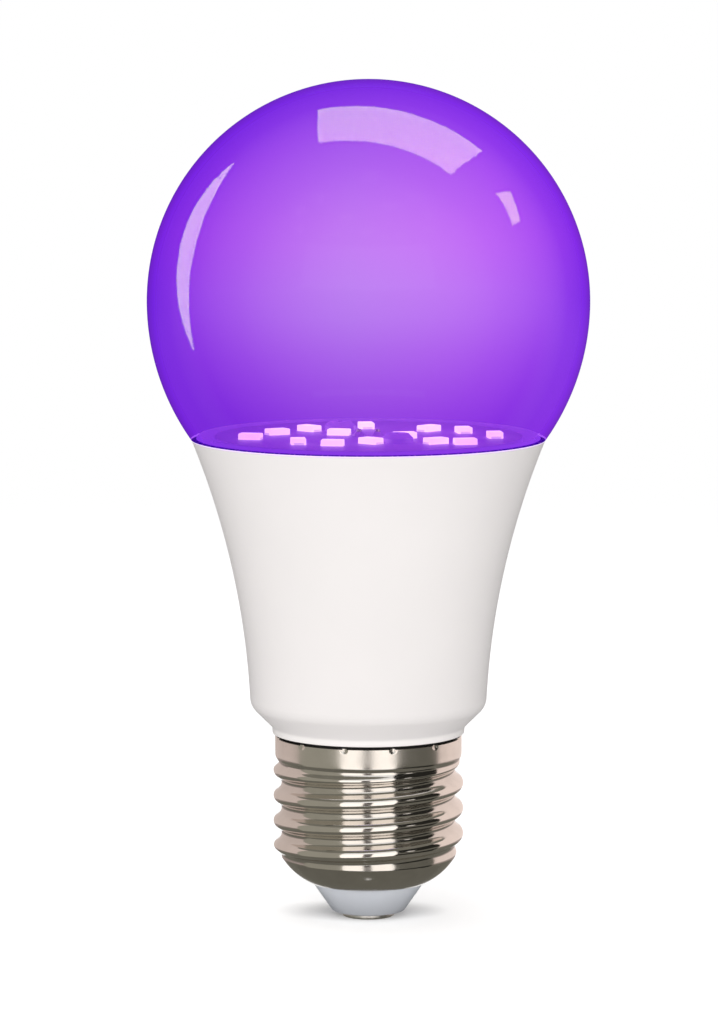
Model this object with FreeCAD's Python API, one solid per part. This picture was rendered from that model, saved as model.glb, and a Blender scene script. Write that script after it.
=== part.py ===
"""Black light bulb: tinted globe over an LED board, flared housing and a screw base.

Millimetres. The axis is Z, the tip of the centre contact is the origin and the globe is at the top.
-Y is the front. Angles are counted from +X.
"""
import FreeCAD
import Part
import math
import os

# Globe
GLOBE_RADIUS = 30.0
GLOBE_WALL = 1.2
GLOBE_FOOT = 18.8            # from the widest level down to the seam
RIM_RADIUS = 24.0            # outside of the globe and the housing at the seam
SPIGOT_LENGTH = 2.0          # foot of the globe inside the housing's rim

# Housing
HOUSING_HEIGHT = 40.2        # from the screw shell's edge up to the seam
HOUSING_WALL = 1.4
RIM_LIP = 0.6                # wall of the rim beside the globe's spigot
FLARE_SAG = 1.5              # how far the side bows in from a straight cone
WAIST_RADIUS = 16.15
SHOULDER_FILLET = 2.55
LIP_RADIUS = 13.1            # lower edge, over the screw shell
LIP_HEIGHT = 0.9
LIP_FLARE = 0.05
NECK_WALL = 1.3
NECK_CLEARANCE = 1.1         # from the nose of the shell up to the end of the neck
RAIL_GRIP = 1.0              # how far the guide rails reach over the driver board's edge
RAIL_WALL = 1.0

# Screw shell
THREAD_RADIUS = 13.0         # over the crests
THREAD_DEPTH = 1.1
THREAD_PITCH = 25.4 / 7
THREAD_CRESTS = 4
SHEET = 0.3
NOSE_HEIGHT = 3.45           # rounded cone below the thread
NOSE_BULGE = 0.37
NOSE_RADIUS = 8.1            # opening that holds the insulator
COLLAR_RADIUS = 12.75
COLLAR_HEIGHT = 2.6          # plain band above the thread
COLLAR_BLEND = 0.7           # height over which the thread's root widens to the band
PUNCH_COUNT = 12
PUNCH_RADIUS = 0.6
PUNCH_DEPTH = 0.2
PUNCH_DROP = 0.75            # below the shell's upper edge
PUNCH_FIRST_DEG = 15.0
GROOVE_DEPTH = 0.6           # groove of the neck behind the punch marks
GROOVE_WIDTH = 1.3

# Insulator and contact
INSULATOR_FOOT_RADIUS = 4.95
INSULATOR_HEIGHT = 4.05      # cone below the shell
FLANGE_WIDTH = 1.3           # ledge of the insulator over the shell's edge
FLANGE_HEIGHT = 1.5
CONTACT_RADIUS = 3.6
CONTACT_HEIGHT = 0.8
CONTACT_EDGE = 0.35
SHANK_RADIUS = 1.2
SHANK_LENGTH = 6.9

# LED board and heat sink
SINK_WALL = 1.0
SINK_PLATE = 1.2
SINK_GAP = 0.25              # from the cup to the globe's spigot
LED_BOARD_THICKNESS = 1.0
LED_BOARD_RISE = 0.5         # board's upper face above the seam
LED_BOARD_EDGE = 0.1         # board edge inside the plate's edge
LED_LENGTH = 3.0
LED_WIDTH = 2.0
LED_HEIGHT = 0.8
LED_WINDOW_RADIUS = 0.7
LED_WINDOW_DEPTH = 0.2
LED_PLACES = (                 # of the packages on the board: x, y and turn in degrees
    (-15.9, -4.5, 76.0),
    (-12.4, 1.9, 118.0),
    (-8.1, 6.7, 45.0),
    (-4.0, 1.4, 80.0),
    (-0.3, 10.6, 8.0),
    (0.3, -10.3, 48.0),
    (4.9, -2.7, 104.0),
    (8.3, 6.7, 135.0),
    (13.0, 4.4, 10.0),
    (17.1, -2.2, 6.0),
    (12.9, -11.1, 100.0),
    (9.0, -10.3, 122.0),
    (-9.4, -10.9, 4.0),
    (-4.8, -12.9, 84.0),
)
SCREW_PLACE = 9.2            # from the axis
SCREW_DEG = -65.0
SCREW_HEAD_RADIUS = 2.1
SCREW_HEAD_HEIGHT = 1.2
SCREW_SHANK_RADIUS = 1.1
SCREW_LENGTH = 4.5
SCREW_SLOT_WIDTH = 0.5
SCREW_SLOT_DEPTH = 0.6

# Supply pins
PIN_PITCH = 2.54
PIN_RADIUS = 0.32
PIN_PROUD = 0.9              # above the LED board
SOLDER_RADIUS = 0.85
SOLDER_HEIGHT = 0.6
HEADER_WIDTH = 5.1
HEADER_HEIGHT = 2.5
HEADER_DEPTH = 2.5
PIN_TAIL = 1.5               # below the header

# Driver board
DRIVER_THICKNESS = 1.2
DRIVER_END_GAP = 3.0         # above the end of the neck
DRIVER_TOP_GAP = 6.0         # below the heat sink's plate
DRIVER_EDGE_GAP = 0.3        # from the board's edge to the bore
PART_GAP = 1.2               # between neighbours on the board
STAND_OFF = 0.3              # from the board to the parts on it
LEAD_RADIUS = 0.3
LEAD_OUT = 1.2               # straight run of a lead before it turns to the board
LEAD_STUB = 0.8              # lead end behind the board
INPUT_CAN_RADIUS = 4.0
INPUT_CAN_X = 3.2
INPUT_CAN_LENGTH = 11.0
INPUT_CAN_LEADS = 3.5        # spacing of the two leads
OUTPUT_CAN_RADIUS = 3.1
OUTPUT_CAN_X = -4.4
OUTPUT_CAN_LENGTH = 10.0
OUTPUT_CAN_LEADS = 2.5
CAN_GROOVE = 0.35
FUSE_RADIUS = 1.5
FUSE_LENGTH = 7.0
FILM_X = 4.4
FILM_WIDTH = 6.5
FILM_DEPTH = 2.8
FILM_HEIGHT = 6.0
FILM_LEADS = 4.0
FILM_FILLET = 0.6
CORE_WIDTH = 10.2
CORE_HEIGHT = 10.6
CORE_DEPTH = 4.6
CORE_LEG = 2.4
CORE_YOKE = 1.5
BOBBIN_WALL = 0.5
WINDING_BUILD = 1.2          # thickness of the winding on the bobbin
PACKAGE_LEG = 0.9
RECTIFIER_SIZE = (4.7, 3.8, 1.5)
RECTIFIER_LEGS = 2
CHIP_SIZE = (4.9, 3.9, 1.4)
CHIP_LEGS = 4
RESISTOR_SIZE = (3.2, 1.6, 0.6)
RESISTOR_COUNT = 4

# Wires
WIRE_RADIUS = 0.6
WIRE_BEND = 1.6
WIRE_SPREAD = 5.0            # from the axis to the wires at the driver board
WIRE_TOP = 2.0               # of the wires' pads above the board's lower edge

# Fits
FIT = 0.1                    # between pieces that are pushed together
FREE_FIT = 0.15              # between pieces that slide together
HOLE_FIT = 0.1               # round leads, pins and screws

UP = FreeCAD.Vector(0, 0, 1)
BACKWARDS = FreeCAD.Vector(0, 1, 0)
ORIGIN = FreeCAD.Vector(0, 0, 0)
SIN_45 = math.sqrt(0.5)


class RoundSide:
    """Side of a turned piece: one arc between two points (radius, z), bowed outwards by sag.

    A negative sag bows it inwards. Inset gives a parallel side that much nearer to the axis.
    """

    def __init__(self, low, high, sag):
        chord = math.hypot(high[0] - low[0], high[1] - low[1])
        self.sign = math.copysign(1, sag)
        self.arc = abs(sag) / 2 + chord ** 2 / (8 * abs(sag))
        to_middle = sag - self.sign * self.arc
        self.centre_radius = (low[0] + high[0]) / 2 + to_middle * (high[1] - low[1]) / chord
        self.centre_z = (low[1] + high[1]) / 2 - to_middle * (high[0] - low[0]) / chord

    def radius(self, z, inset=0.0):
        arc = self.arc - self.sign * inset
        return self.centre_radius + self.sign * math.sqrt(arc ** 2 - (z - self.centre_z) ** 2)

    def level(self, radius, inset=0.0):
        arc = self.arc - self.sign * inset
        return self.centre_z - self.sign * math.sqrt(arc ** 2 - (radius - self.centre_radius) ** 2)

    def point(self, z, inset=0.0):
        return (self.radius(z, inset), z)

    def run(self, z_from, z_to, inset=0.0):
        """Step for turned() along the side: the point that the arc goes through, and its end."""
        return (self.point((z_from + z_to) / 2, inset), self.point(z_to, inset))


# Levels and radii that follow from the sizes above
INSULATOR_Z = CONTACT_HEIGHT
NOSE_Z = INSULATOR_Z + INSULATOR_HEIGHT
THREAD_Z = NOSE_Z + NOSE_HEIGHT
COLLAR_Z = THREAD_Z + THREAD_CRESTS * THREAD_PITCH
BAND_Z = COLLAR_Z + COLLAR_BLEND
CAP_Z = COLLAR_Z + COLLAR_HEIGHT
PUNCH_Z = CAP_Z - PUNCH_DROP
RIM_Z = CAP_Z + HOUSING_HEIGHT
WIDEST_Z = RIM_Z + GLOBE_FOOT
FOOT_CHORD = math.hypot(GLOBE_RADIUS - RIM_RADIUS, GLOBE_FOOT)
FOOT_ARC = FOOT_CHORD ** 2 / (2 * (GLOBE_RADIUS - RIM_RADIUS))
FOOT_SAG = FOOT_ARC - math.sqrt(FOOT_ARC ** 2 - FOOT_CHORD ** 2 / 4)
SPIGOT_Z = RIM_Z - SPIGOT_LENGTH
LEDGE_Z = SPIGOT_Z - FIT
ROOT_RADIUS = THREAD_RADIUS - THREAD_DEPTH
NECK_RADIUS = ROOT_RADIUS - SHEET - FREE_FIT
NECK_SEAT_RADIUS = COLLAR_RADIUS - SHEET - FIT
NECK_Z = THREAD_Z + NECK_CLEARANCE
BORE_RADIUS = NECK_RADIUS - NECK_WALL

LIP_TOP = (LIP_RADIUS + LIP_FLARE, CAP_Z + LIP_HEIGHT)
SHOULDER_RADIUS = WAIST_RADIUS - SHOULDER_FILLET * (1 - SIN_45)
SHOULDER_Z = LIP_TOP[1] + SHOULDER_RADIUS - LIP_TOP[0]
WAIST_Z = SHOULDER_Z + SHOULDER_FILLET * SIN_45
FLARE = RoundSide((WAIST_RADIUS, WAIST_Z), (RIM_RADIUS, RIM_Z), -FLARE_SAG)
NOSE = RoundSide((NOSE_RADIUS, NOSE_Z), (ROOT_RADIUS, THREAD_Z), NOSE_BULGE)

BOARD_Z = RIM_Z + LED_BOARD_RISE
PLATE_Z = BOARD_Z - LED_BOARD_THICKNESS
PLATE_UNDER_Z = PLATE_Z - SINK_PLATE
SPIGOT_END_RADIUS = FLARE.radius(SPIGOT_Z, RIM_LIP + FIT)
SINK_RADIUS = SPIGOT_END_RADIUS - GLOBE_WALL - SINK_GAP
SINK_FOOT_Z = FLARE.level(SINK_RADIUS + FIT, HOUSING_WALL)
LED_BOARD_RADIUS = SINK_RADIUS - LED_BOARD_EDGE

DRIVER_FRONT = HEADER_DEPTH / 2
DRIVER_BACK = DRIVER_FRONT + DRIVER_THICKNESS
DRIVER_Y = (DRIVER_FRONT + DRIVER_BACK) / 2
DRIVER_Z = NECK_Z + DRIVER_END_GAP
DRIVER_TOP_Z = PLATE_UNDER_Z - DRIVER_TOP_GAP
DRIVER_HALF = math.sqrt((BORE_RADIUS - DRIVER_EDGE_GAP) ** 2 - DRIVER_BACK ** 2)

# Rows of parts on the driver board, from its lower edge up
WIRE_TOP_Z = DRIVER_Z + WIRE_TOP
FIRST_ROW_Z = WIRE_TOP_Z + PART_GAP + LEAD_OUT
FIRST_ROW_TOP_Z = FIRST_ROW_Z + max(INPUT_CAN_LENGTH, FUSE_LENGTH + LEAD_OUT)
CORE_Z = FIRST_ROW_TOP_Z + PART_GAP + CORE_HEIGHT / 2
THIRD_ROW_Z = CORE_Z + CORE_HEIGHT / 2 + PART_GAP + LEAD_OUT
FLANGE_THICKNESS = 2 * (LEAD_RADIUS + HOLE_FIT)
BOBBIN_BUILD = FIT + BOBBIN_WALL + WINDING_BUILD
BOBBIN_HALF_X = CORE_LEG / 2 + BOBBIN_BUILD
BOBBIN_HALF_Y = CORE_DEPTH / 2 + BOBBIN_BUILD
CORE_Y = DRIVER_FRONT - STAND_OFF - BOBBIN_HALF_Y
FILM_Z = THIRD_ROW_Z + FILM_HEIGHT / 2
LEAD_BEND = LEAD_OUT / 2


def vec(x, y, z):
    return FreeCAD.Vector(x, y, z)


def turned(start, *steps):
    """Solid of revolution. A step is a point (radius, z), or a pair for an arc: through and end."""
    edges = []
    here = vec(start[0], 0, start[1])
    for step in steps + (start,):
        if isinstance(step[0], tuple):
            through, end = step
            there = vec(end[0], 0, end[1])
            edges.append(Part.Arc(here, vec(through[0], 0, through[1]), there).toShape())
        else:
            there = vec(step[0], 0, step[1])
            edges.append(Part.LineSegment(here, there).toShape())
        here = there
    return Part.Face(Part.Wire(edges)).revolve(ORIGIN, UP, 360)


def rod(radius, length, place, direction=UP):
    return Part.makeCylinder(radius, length, place, direction)


def block(size, centre):
    """Box of a given size about a centre."""
    corner = vec(*centre) - vec(*size) * 0.5
    return Part.makeBox(size[0], size[1], size[2], corner)


def bent_rod(radius, bend, points):
    """Round rod along straight runs joined by tangent arcs of the given bend."""
    lengths = []
    here = points[0]
    for corner, after in zip(points[1:-1], points[2:]):
        towards = (corner - here).normalize()
        away = (after - corner).normalize()
        half_turn = towards.getAngle(away) / 2
        reach = bend * math.tan(half_turn)
        start = corner - towards * reach
        inward = (away - towards).normalize()
        centre = corner + inward * (bend / math.cos(half_turn))
        section = Part.Face(Part.Wire(Part.makeCircle(radius, start, towards)))
        lengths.append(rod(radius, (start - here).Length, here, towards))
        lengths.append(section.revolve(centre, towards.cross(away), math.degrees(2 * half_turn)))
        here = corner + away * reach
    last = points[-1] - here
    lengths.append(rod(radius, last.Length, here, last))
    return lengths[0].fuse(lengths[1:]).removeSplitter()


def around(shape, count, first_deg=0.0):
    """Copies of a shape at equal steps round the axis."""
    copies = []
    for index in range(count):
        copy = shape.copy()
        copy.rotate(ORIGIN, UP, first_deg + 360.0 * index / count)
        copies.append(copy)
    return copies


def globe():
    """Ball with a slightly fuller lower half, and a tapered spigot at its foot."""
    foot = RoundSide((RIM_RADIUS, RIM_Z), (GLOBE_RADIUS, WIDEST_Z), FOOT_SAG)
    inner = GLOBE_RADIUS - GLOBE_WALL
    return turned(
        (RIM_RADIUS, RIM_Z),
        foot.run(RIM_Z, WIDEST_Z),
        ((GLOBE_RADIUS * SIN_45, WIDEST_Z + GLOBE_RADIUS * SIN_45), (0, WIDEST_Z + GLOBE_RADIUS)),
        (0, WIDEST_Z + inner),
        ((inner * SIN_45, WIDEST_Z + inner * SIN_45), (inner, WIDEST_Z)),
        foot.run(WIDEST_Z, RIM_Z, GLOBE_WALL),
        (SPIGOT_END_RADIUS - GLOBE_WALL, SPIGOT_Z),
        (SPIGOT_END_RADIUS, SPIGOT_Z),
        FLARE.point(RIM_Z, RIM_LIP + FIT),
    )


def housing():
    """Flared moulding with a stepped rim, a rounded shoulder and a neck inside the shell."""
    groove_low = PUNCH_Z - GROOVE_WIDTH / 2
    groove_radius = NECK_SEAT_RADIUS - GROOVE_DEPTH
    eighth = math.pi / 8
    shoulder_through = (
        WAIST_RADIUS - SHOULDER_FILLET * (1 - math.cos(eighth)),
        WAIST_Z - SHOULDER_FILLET * math.sin(eighth),
    )
    inner_waist = FLARE.radius(WAIST_Z, HOUSING_WALL)
    body = turned(
        (NECK_RADIUS, NECK_Z),
        (NECK_RADIUS, COLLAR_Z),
        (NECK_SEAT_RADIUS, BAND_Z),
        (NECK_SEAT_RADIUS, groove_low),
        (groove_radius, groove_low),
        (groove_radius, CAP_Z),
        (LIP_RADIUS, CAP_Z),
        LIP_TOP,
        (SHOULDER_RADIUS, SHOULDER_Z),
        (shoulder_through, (WAIST_RADIUS, WAIST_Z)),
        FLARE.run(WAIST_Z, RIM_Z),
        FLARE.point(RIM_Z, RIM_LIP),
        FLARE.point(LEDGE_Z, RIM_LIP),
        FLARE.point(LEDGE_Z, HOUSING_WALL),
        FLARE.run(LEDGE_Z, WAIST_Z, HOUSING_WALL),
        (BORE_RADIUS, WAIST_Z - inner_waist + BORE_RADIUS),
        (BORE_RADIUS, NECK_Z),
    )
    return body.fuse(guide_rails()).removeSplitter()


def guide_rails():
    """Two grooved rails in the neck that hold the driver board's edges."""
    slot = DRIVER_THICKNESS + 2 * FREE_FIT
    height = CAP_Z - DRIVER_Z
    centre = (0, DRIVER_Y, DRIVER_Z + height / 2)
    across = 4 * BORE_RADIUS
    bore = rod(BORE_RADIUS + NECK_WALL / 2, height, vec(0, 0, DRIVER_Z))
    bar = block((across, slot + 2 * RAIL_WALL, height), centre)
    middle = block((2 * (DRIVER_HALF - RAIL_GRIP), across, 2 * height), centre)
    board = block((2 * (DRIVER_HALF + FREE_FIT), slot, 2 * height), centre)
    return bar.common(bore).cut(middle).cut(board)


def screw_shell():
    """Rolled sheet: rounded nose, thread of equal crest and root arcs, band with punch marks."""
    quarter = THREAD_PITCH / 4
    half_depth = THREAD_DEPTH / 2
    arc = (quarter ** 2 + half_depth ** 2) / (2 * half_depth)
    root_bow = arc - math.sqrt(arc ** 2 - (quarter / 2) ** 2)
    thread = []
    for index in range(THREAD_CRESTS):
        low = THREAD_Z + index * THREAD_PITCH
        high = low + THREAD_PITCH
        flank = ROOT_RADIUS + half_depth
        thread.append(((ROOT_RADIUS + root_bow, low + quarter / 2), (flank, low + quarter)))
        thread.append(((THREAD_RADIUS, low + 2 * quarter), (flank, high - quarter)))
        thread.append(((ROOT_RADIUS + root_bow, high - quarter / 2), (ROOT_RADIUS, high)))
    inner_root = ROOT_RADIUS - SHEET
    inner_nose_z = NOSE.level(inner_root, SHEET)
    inner_lip_z = NOSE_Z + SHEET * SIN_45
    shell = turned(
        (NOSE_RADIUS, NOSE_Z),
        NOSE.run(NOSE_Z, THREAD_Z),
        *thread,
        (COLLAR_RADIUS, BAND_Z),
        (COLLAR_RADIUS, CAP_Z),
        (COLLAR_RADIUS - SHEET, CAP_Z),
        (COLLAR_RADIUS - SHEET, BAND_Z),
        (inner_root, COLLAR_Z),
        (inner_root, inner_nose_z),
        NOSE.run(inner_nose_z, inner_lip_z, SHEET),
    )
    mark = Part.makeSphere(PUNCH_RADIUS, vec(COLLAR_RADIUS + PUNCH_RADIUS - PUNCH_DEPTH, 0, PUNCH_Z))
    return shell.cut(Part.Compound(around(mark, PUNCH_COUNT, PUNCH_FIRST_DEG)))


def base_insulator():
    """Moulded cone that closes the shell's nose, held by a ledge on the inside."""
    opening = NOSE.radius(NOSE_Z + SHEET * SIN_45, SHEET) - FIT
    ledge_radius = opening + FLANGE_WIDTH
    ledge_z = NOSE.level(ledge_radius, SHEET + FIT)
    hole = SHANK_RADIUS + FIT
    return turned(
        (hole, INSULATOR_Z),
        (INSULATOR_FOOT_RADIUS, INSULATOR_Z),
        (opening, NOSE_Z),
        (opening, NOSE.level(opening, SHEET + FIT)),
        NOSE.run(NOSE.level(opening, SHEET + FIT), ledge_z, SHEET + FIT),
        (ledge_radius, ledge_z + FLANGE_HEIGHT),
        (hole, ledge_z + FLANGE_HEIGHT),
    )


def centre_contact():
    """Rivet with a flat bevelled head."""
    return turned(
        (0, 0),
        (CONTACT_RADIUS - CONTACT_EDGE, 0),
        (CONTACT_RADIUS, CONTACT_EDGE),
        (CONTACT_RADIUS, CONTACT_HEIGHT),
        (SHANK_RADIUS, CONTACT_HEIGHT),
        (SHANK_RADIUS, CONTACT_HEIGHT + SHANK_LENGTH),
        (0, CONTACT_HEIGHT + SHANK_LENGTH),
    )


def screw_places():
    """Two opposite places on the LED board."""
    turn = math.radians(SCREW_DEG)
    reach = vec(SCREW_PLACE * math.cos(turn), SCREW_PLACE * math.sin(turn), 0)
    return [vec(0, 0, BOARD_Z) + reach * side for side in (-1, 1)]


def pin_places():
    return [vec(side * PIN_PITCH / 2, 0, BOARD_Z) for side in (-1, 1)]


def drilled(shape, places, radius):
    """Shape with a round hole along Z at each place."""
    depth = 4 * RIM_RADIUS
    drills = [rod(radius, depth, place - UP * depth / 2) for place in places]
    return shape.cut(Part.Compound(drills))


def heat_sink():
    """Drawn cup that wedges in the flare, with an opening for the supply pins."""
    cup = turned(
        (0, PLATE_UNDER_Z),
        (SINK_RADIUS - SINK_WALL, PLATE_UNDER_Z),
        (SINK_RADIUS - SINK_WALL, SINK_FOOT_Z),
        (SINK_RADIUS, SINK_FOOT_Z),
        (SINK_RADIUS, PLATE_Z),
        (0, PLATE_Z),
    )
    opening = block((HEADER_WIDTH, HEADER_DEPTH, 4 * SINK_PLATE), (0, 0, PLATE_Z))
    return drilled(cup.cut(opening), screw_places(), SCREW_SHANK_RADIUS + HOLE_FIT)


def led_board():
    disc = rod(LED_BOARD_RADIUS, LED_BOARD_THICKNESS, vec(0, 0, PLATE_Z))
    disc = drilled(disc, screw_places(), SCREW_SHANK_RADIUS + HOLE_FIT)
    return drilled(disc, pin_places(), PIN_RADIUS + HOLE_FIT)


def led_chips():
    """Packages with a round window, scattered over the board."""
    body = block((LED_WIDTH, LED_LENGTH, LED_HEIGHT), (0, 0, LED_HEIGHT / 2))
    window = Part.makeCone(LED_WINDOW_RADIUS, LED_WINDOW_RADIUS + LED_WINDOW_DEPTH,
                           LED_WINDOW_DEPTH, vec(0, 0, LED_HEIGHT - LED_WINDOW_DEPTH))
    package = body.cut(window)
    chips = []
    for x, y, turn in LED_PLACES:
        chip = package.copy()
        chip.rotate(ORIGIN, UP, turn)
        chips.append(chip.translated(vec(x, y, BOARD_Z)))
    return chips


def board_screws():
    """Pan-head screws with a cross recess."""
    screws = []
    slot_z = BOARD_Z + SCREW_HEAD_HEIGHT - SCREW_SLOT_DEPTH / 2
    for place in screw_places():
        head = rod(SCREW_HEAD_RADIUS, SCREW_HEAD_HEIGHT, place)
        top_edges = [edge for edge in head.Edges if edge.BoundBox.ZMin > BOARD_Z + SCREW_HEAD_HEIGHT / 2]
        head = head.makeChamfer(SCREW_HEAD_HEIGHT / 2, top_edges)
        long_side = 2 * SCREW_SHANK_RADIUS
        for size_x, size_y in ((long_side, SCREW_SLOT_WIDTH), (SCREW_SLOT_WIDTH, long_side)):
            head = head.cut(block((size_x, size_y, SCREW_SLOT_DEPTH), (place.x, place.y, slot_z)))
        shank = rod(SCREW_SHANK_RADIUS, SCREW_LENGTH, place - UP * SCREW_LENGTH)
        screws.append(head.fuse(shank).removeSplitter())
    return Part.Compound(screws)


def pin_header():
    centre = (0, DRIVER_FRONT - HEADER_DEPTH / 2, DRIVER_TOP_Z - HEADER_HEIGHT / 2)
    body = block((HEADER_WIDTH, HEADER_DEPTH, HEADER_HEIGHT), centre)
    return drilled(body, pin_places(), PIN_RADIUS + HOLE_FIT)


def supply_pins():
    foot_z = DRIVER_TOP_Z - HEADER_HEIGHT - PIN_TAIL
    length = BOARD_Z + PIN_PROUD - foot_z
    feet = [place - UP * (length - PIN_PROUD) for place in pin_places()]
    return Part.Compound([rod(PIN_RADIUS, length, foot) for foot in feet])


def pin_solder():
    """Solder cones round the pins on the LED board."""
    hole = PIN_RADIUS + HOLE_FIT
    joint = turned((hole, 0), (SOLDER_RADIUS, 0), (hole, SOLDER_HEIGHT))
    return Part.Compound([joint.translated(place) for place in pin_places()])


def lead_places():
    """Where leads pass the driver board, as (x, z)."""
    places = []
    for end_z in (FIRST_ROW_Z - LEAD_OUT, FIRST_ROW_Z + FUSE_LENGTH + LEAD_OUT):
        places.append((-WIRE_SPREAD, end_z))
    cans = (
        (INPUT_CAN_X, INPUT_CAN_LEADS, FIRST_ROW_Z - LEAD_OUT),
        (OUTPUT_CAN_X, OUTPUT_CAN_LEADS, THIRD_ROW_Z - LEAD_OUT),
        (FILM_X, FILM_LEADS, FILM_Z),
    )
    for middle, spacing, z in cans:
        places += [(middle - spacing / 2, z), (middle + spacing / 2, z)]
    return places + transformer_pin_places()


def transformer_pin_places():
    rise = CORE_HEIGHT / 2 - CORE_YOKE - FIT - FLANGE_THICKNESS / 2
    across = BOBBIN_HALF_X - 2 * LEAD_RADIUS
    return [(x, CORE_Z + z) for x in (-across, across) for z in (-rise, rise)]


def driver_board():
    height = DRIVER_TOP_Z - DRIVER_Z
    board = block((2 * DRIVER_HALF, DRIVER_THICKNESS, height), (0, DRIVER_Y, DRIVER_Z + height / 2))
    start = DRIVER_FRONT - DRIVER_THICKNESS
    holes = []
    for x, z in lead_places():
        holes.append(rod(LEAD_RADIUS + HOLE_FIT, 4 * DRIVER_THICKNESS, vec(x, start, z), BACKWARDS))
    return board.cut(Part.Compound(holes))


def lead_to_board(x, y, z, turn):
    """Lead from a part's end, straight along Z for LEAD_OUT and then through the board."""
    corner_z = z + turn * LEAD_OUT
    points = [vec(x, y, z), vec(x, y, corner_z), vec(x, DRIVER_BACK + LEAD_STUB, corner_z)]
    return bent_rod(LEAD_RADIUS, LEAD_BEND, points)


def capacitor_can(radius, length, x, z):
    """Can with a crimped groove near its lower end."""
    groove_z = length / 6
    width = 2 * CAN_GROOVE
    can = turned(
        (0, 0),
        (radius, 0),
        (radius, groove_z - width),
        (radius - CAN_GROOVE, groove_z),
        (radius, groove_z + width),
        (radius, length - CAN_GROOVE),
        (radius - CAN_GROOVE, length),
        (0, length),
    )
    return can.translated(vec(x, DRIVER_FRONT - STAND_OFF - radius, z))


def can_leads(radius, spacing, x, z):
    y = DRIVER_FRONT - STAND_OFF - radius
    return Part.Compound([lead_to_board(x + side * spacing / 2, y, z, -1) for side in (-1, 1)])


def fuse_resistor():
    """Ceramic body with thicker ends."""
    cap = FUSE_LENGTH / 5
    slim = FUSE_RADIUS * 0.85
    body = turned(
        (0, 0),
        (FUSE_RADIUS, 0),
        (FUSE_RADIUS, cap),
        (slim, 1.4 * cap),
        (slim, FUSE_LENGTH - 1.4 * cap),
        (FUSE_RADIUS, FUSE_LENGTH - cap),
        (FUSE_RADIUS, FUSE_LENGTH),
        (0, FUSE_LENGTH),
    )
    return body.translated(vec(-WIRE_SPREAD, DRIVER_FRONT - STAND_OFF - FUSE_RADIUS, FIRST_ROW_Z))


def fuse_leads():
    y = DRIVER_FRONT - STAND_OFF - FUSE_RADIUS
    ends = ((FIRST_ROW_Z, -1), (FIRST_ROW_Z + FUSE_LENGTH, 1))
    return Part.Compound([lead_to_board(-WIRE_SPREAD, y, z, turn) for z, turn in ends])


def film_capacitor():
    y = DRIVER_FRONT - STAND_OFF - FILM_DEPTH / 2
    body = block((FILM_WIDTH, FILM_DEPTH, FILM_HEIGHT), (FILM_X, y, FILM_Z))
    across = [edge for edge in body.Edges if edge.BoundBox.YLength > FILM_DEPTH / 2]
    return body.makeFillet(FILM_FILLET, across)


def film_leads():
    start = DRIVER_FRONT - STAND_OFF
    length = DRIVER_BACK + LEAD_STUB - start
    places = [vec(FILM_X + side * FILM_LEADS / 2, start, FILM_Z) for side in (-1, 1)]
    return Part.Compound([rod(LEAD_RADIUS, length, place, BACKWARDS) for place in places])


def transformer_core():
    """Ferrite core with three legs."""
    core = block((CORE_WIDTH, CORE_DEPTH, CORE_HEIGHT), (0, CORE_Y, CORE_Z))
    window_width = (CORE_WIDTH - CORE_LEG) / 2 - CORE_YOKE
    window_x = (CORE_LEG + window_width) / 2
    for side in (-1, 1):
        size = (window_width, 2 * CORE_DEPTH, CORE_HEIGHT - 2 * CORE_YOKE)
        core = core.cut(block(size, (side * window_x, CORE_Y, CORE_Z)))
    return core


def bobbin_ring(height, outer, inner, z):
    """Square ring about the middle leg, outer and inner being its distances from the leg."""
    centre = (0, CORE_Y, z)
    ring = block((CORE_LEG + 2 * outer, CORE_DEPTH + 2 * outer, height), centre)
    return ring.cut(block((CORE_LEG + 2 * inner, CORE_DEPTH + 2 * inner, 2 * height), centre))


def transformer_bobbin():
    height = CORE_HEIGHT - 2 * CORE_YOKE - 2 * FIT
    spool = bobbin_ring(height, FIT + BOBBIN_WALL, FIT, CORE_Z)
    for side in (-1, 1):
        flange_z = CORE_Z + side * (height - FLANGE_THICKNESS) / 2
        spool = spool.fuse(bobbin_ring(FLANGE_THICKNESS, BOBBIN_BUILD, FIT, flange_z))
    return spool.removeSplitter()


def transformer_winding():
    height = CORE_HEIGHT - 2 * CORE_YOKE - 2 * FIT - 2 * FLANGE_THICKNESS
    winding = bobbin_ring(height, BOBBIN_BUILD - FIT, FIT + BOBBIN_WALL, CORE_Z)
    corners = [edge for edge in winding.Edges
               if edge.BoundBox.ZLength > height / 2 and abs(edge.CenterOfMass.x) > BOBBIN_HALF_X - 2 * FIT]
    return winding.makeFillet(WINDING_BUILD / 2, corners)


def transformer_pins():
    start = CORE_Y + BOBBIN_HALF_Y
    length = DRIVER_BACK + LEAD_STUB - start
    places = [vec(x, start, z) for x, z in transformer_pin_places()]
    return Part.Compound([rod(LEAD_RADIUS, length, place, BACKWARDS) for place in places])


def flat_package(size, legs, z):
    """Moulded package on the back of the driver board, with flat legs at both sides."""
    length, width, height = size
    leg_width = length / (2.5 * legs)
    leg_height = height / 6
    package = block((width, height, length), (0, DRIVER_BACK + height / 2, z))
    for index in range(legs):
        leg_z = z + (index - (legs - 1) / 2) * length / legs
        leg = (width + 2 * PACKAGE_LEG, leg_height, leg_width)
        package = package.fuse(block(leg, (0, DRIVER_BACK + leg_height / 2, leg_z)))
    return package.removeSplitter()


def chip_resistors():
    """Row of small resistors above the film capacitor's leads."""
    length, width, height = RESISTOR_SIZE
    z = FILM_Z + FILM_HEIGHT / 2 + PART_GAP + length / 2
    pitch = width + PART_GAP
    row = []
    for index in range(RESISTOR_COUNT):
        x = (index - (RESISTOR_COUNT - 1) / 2) * pitch
        row.append(block((width, height, length), (x, DRIVER_BACK + height / 2, z)))
    return Part.Compound(row)


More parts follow.
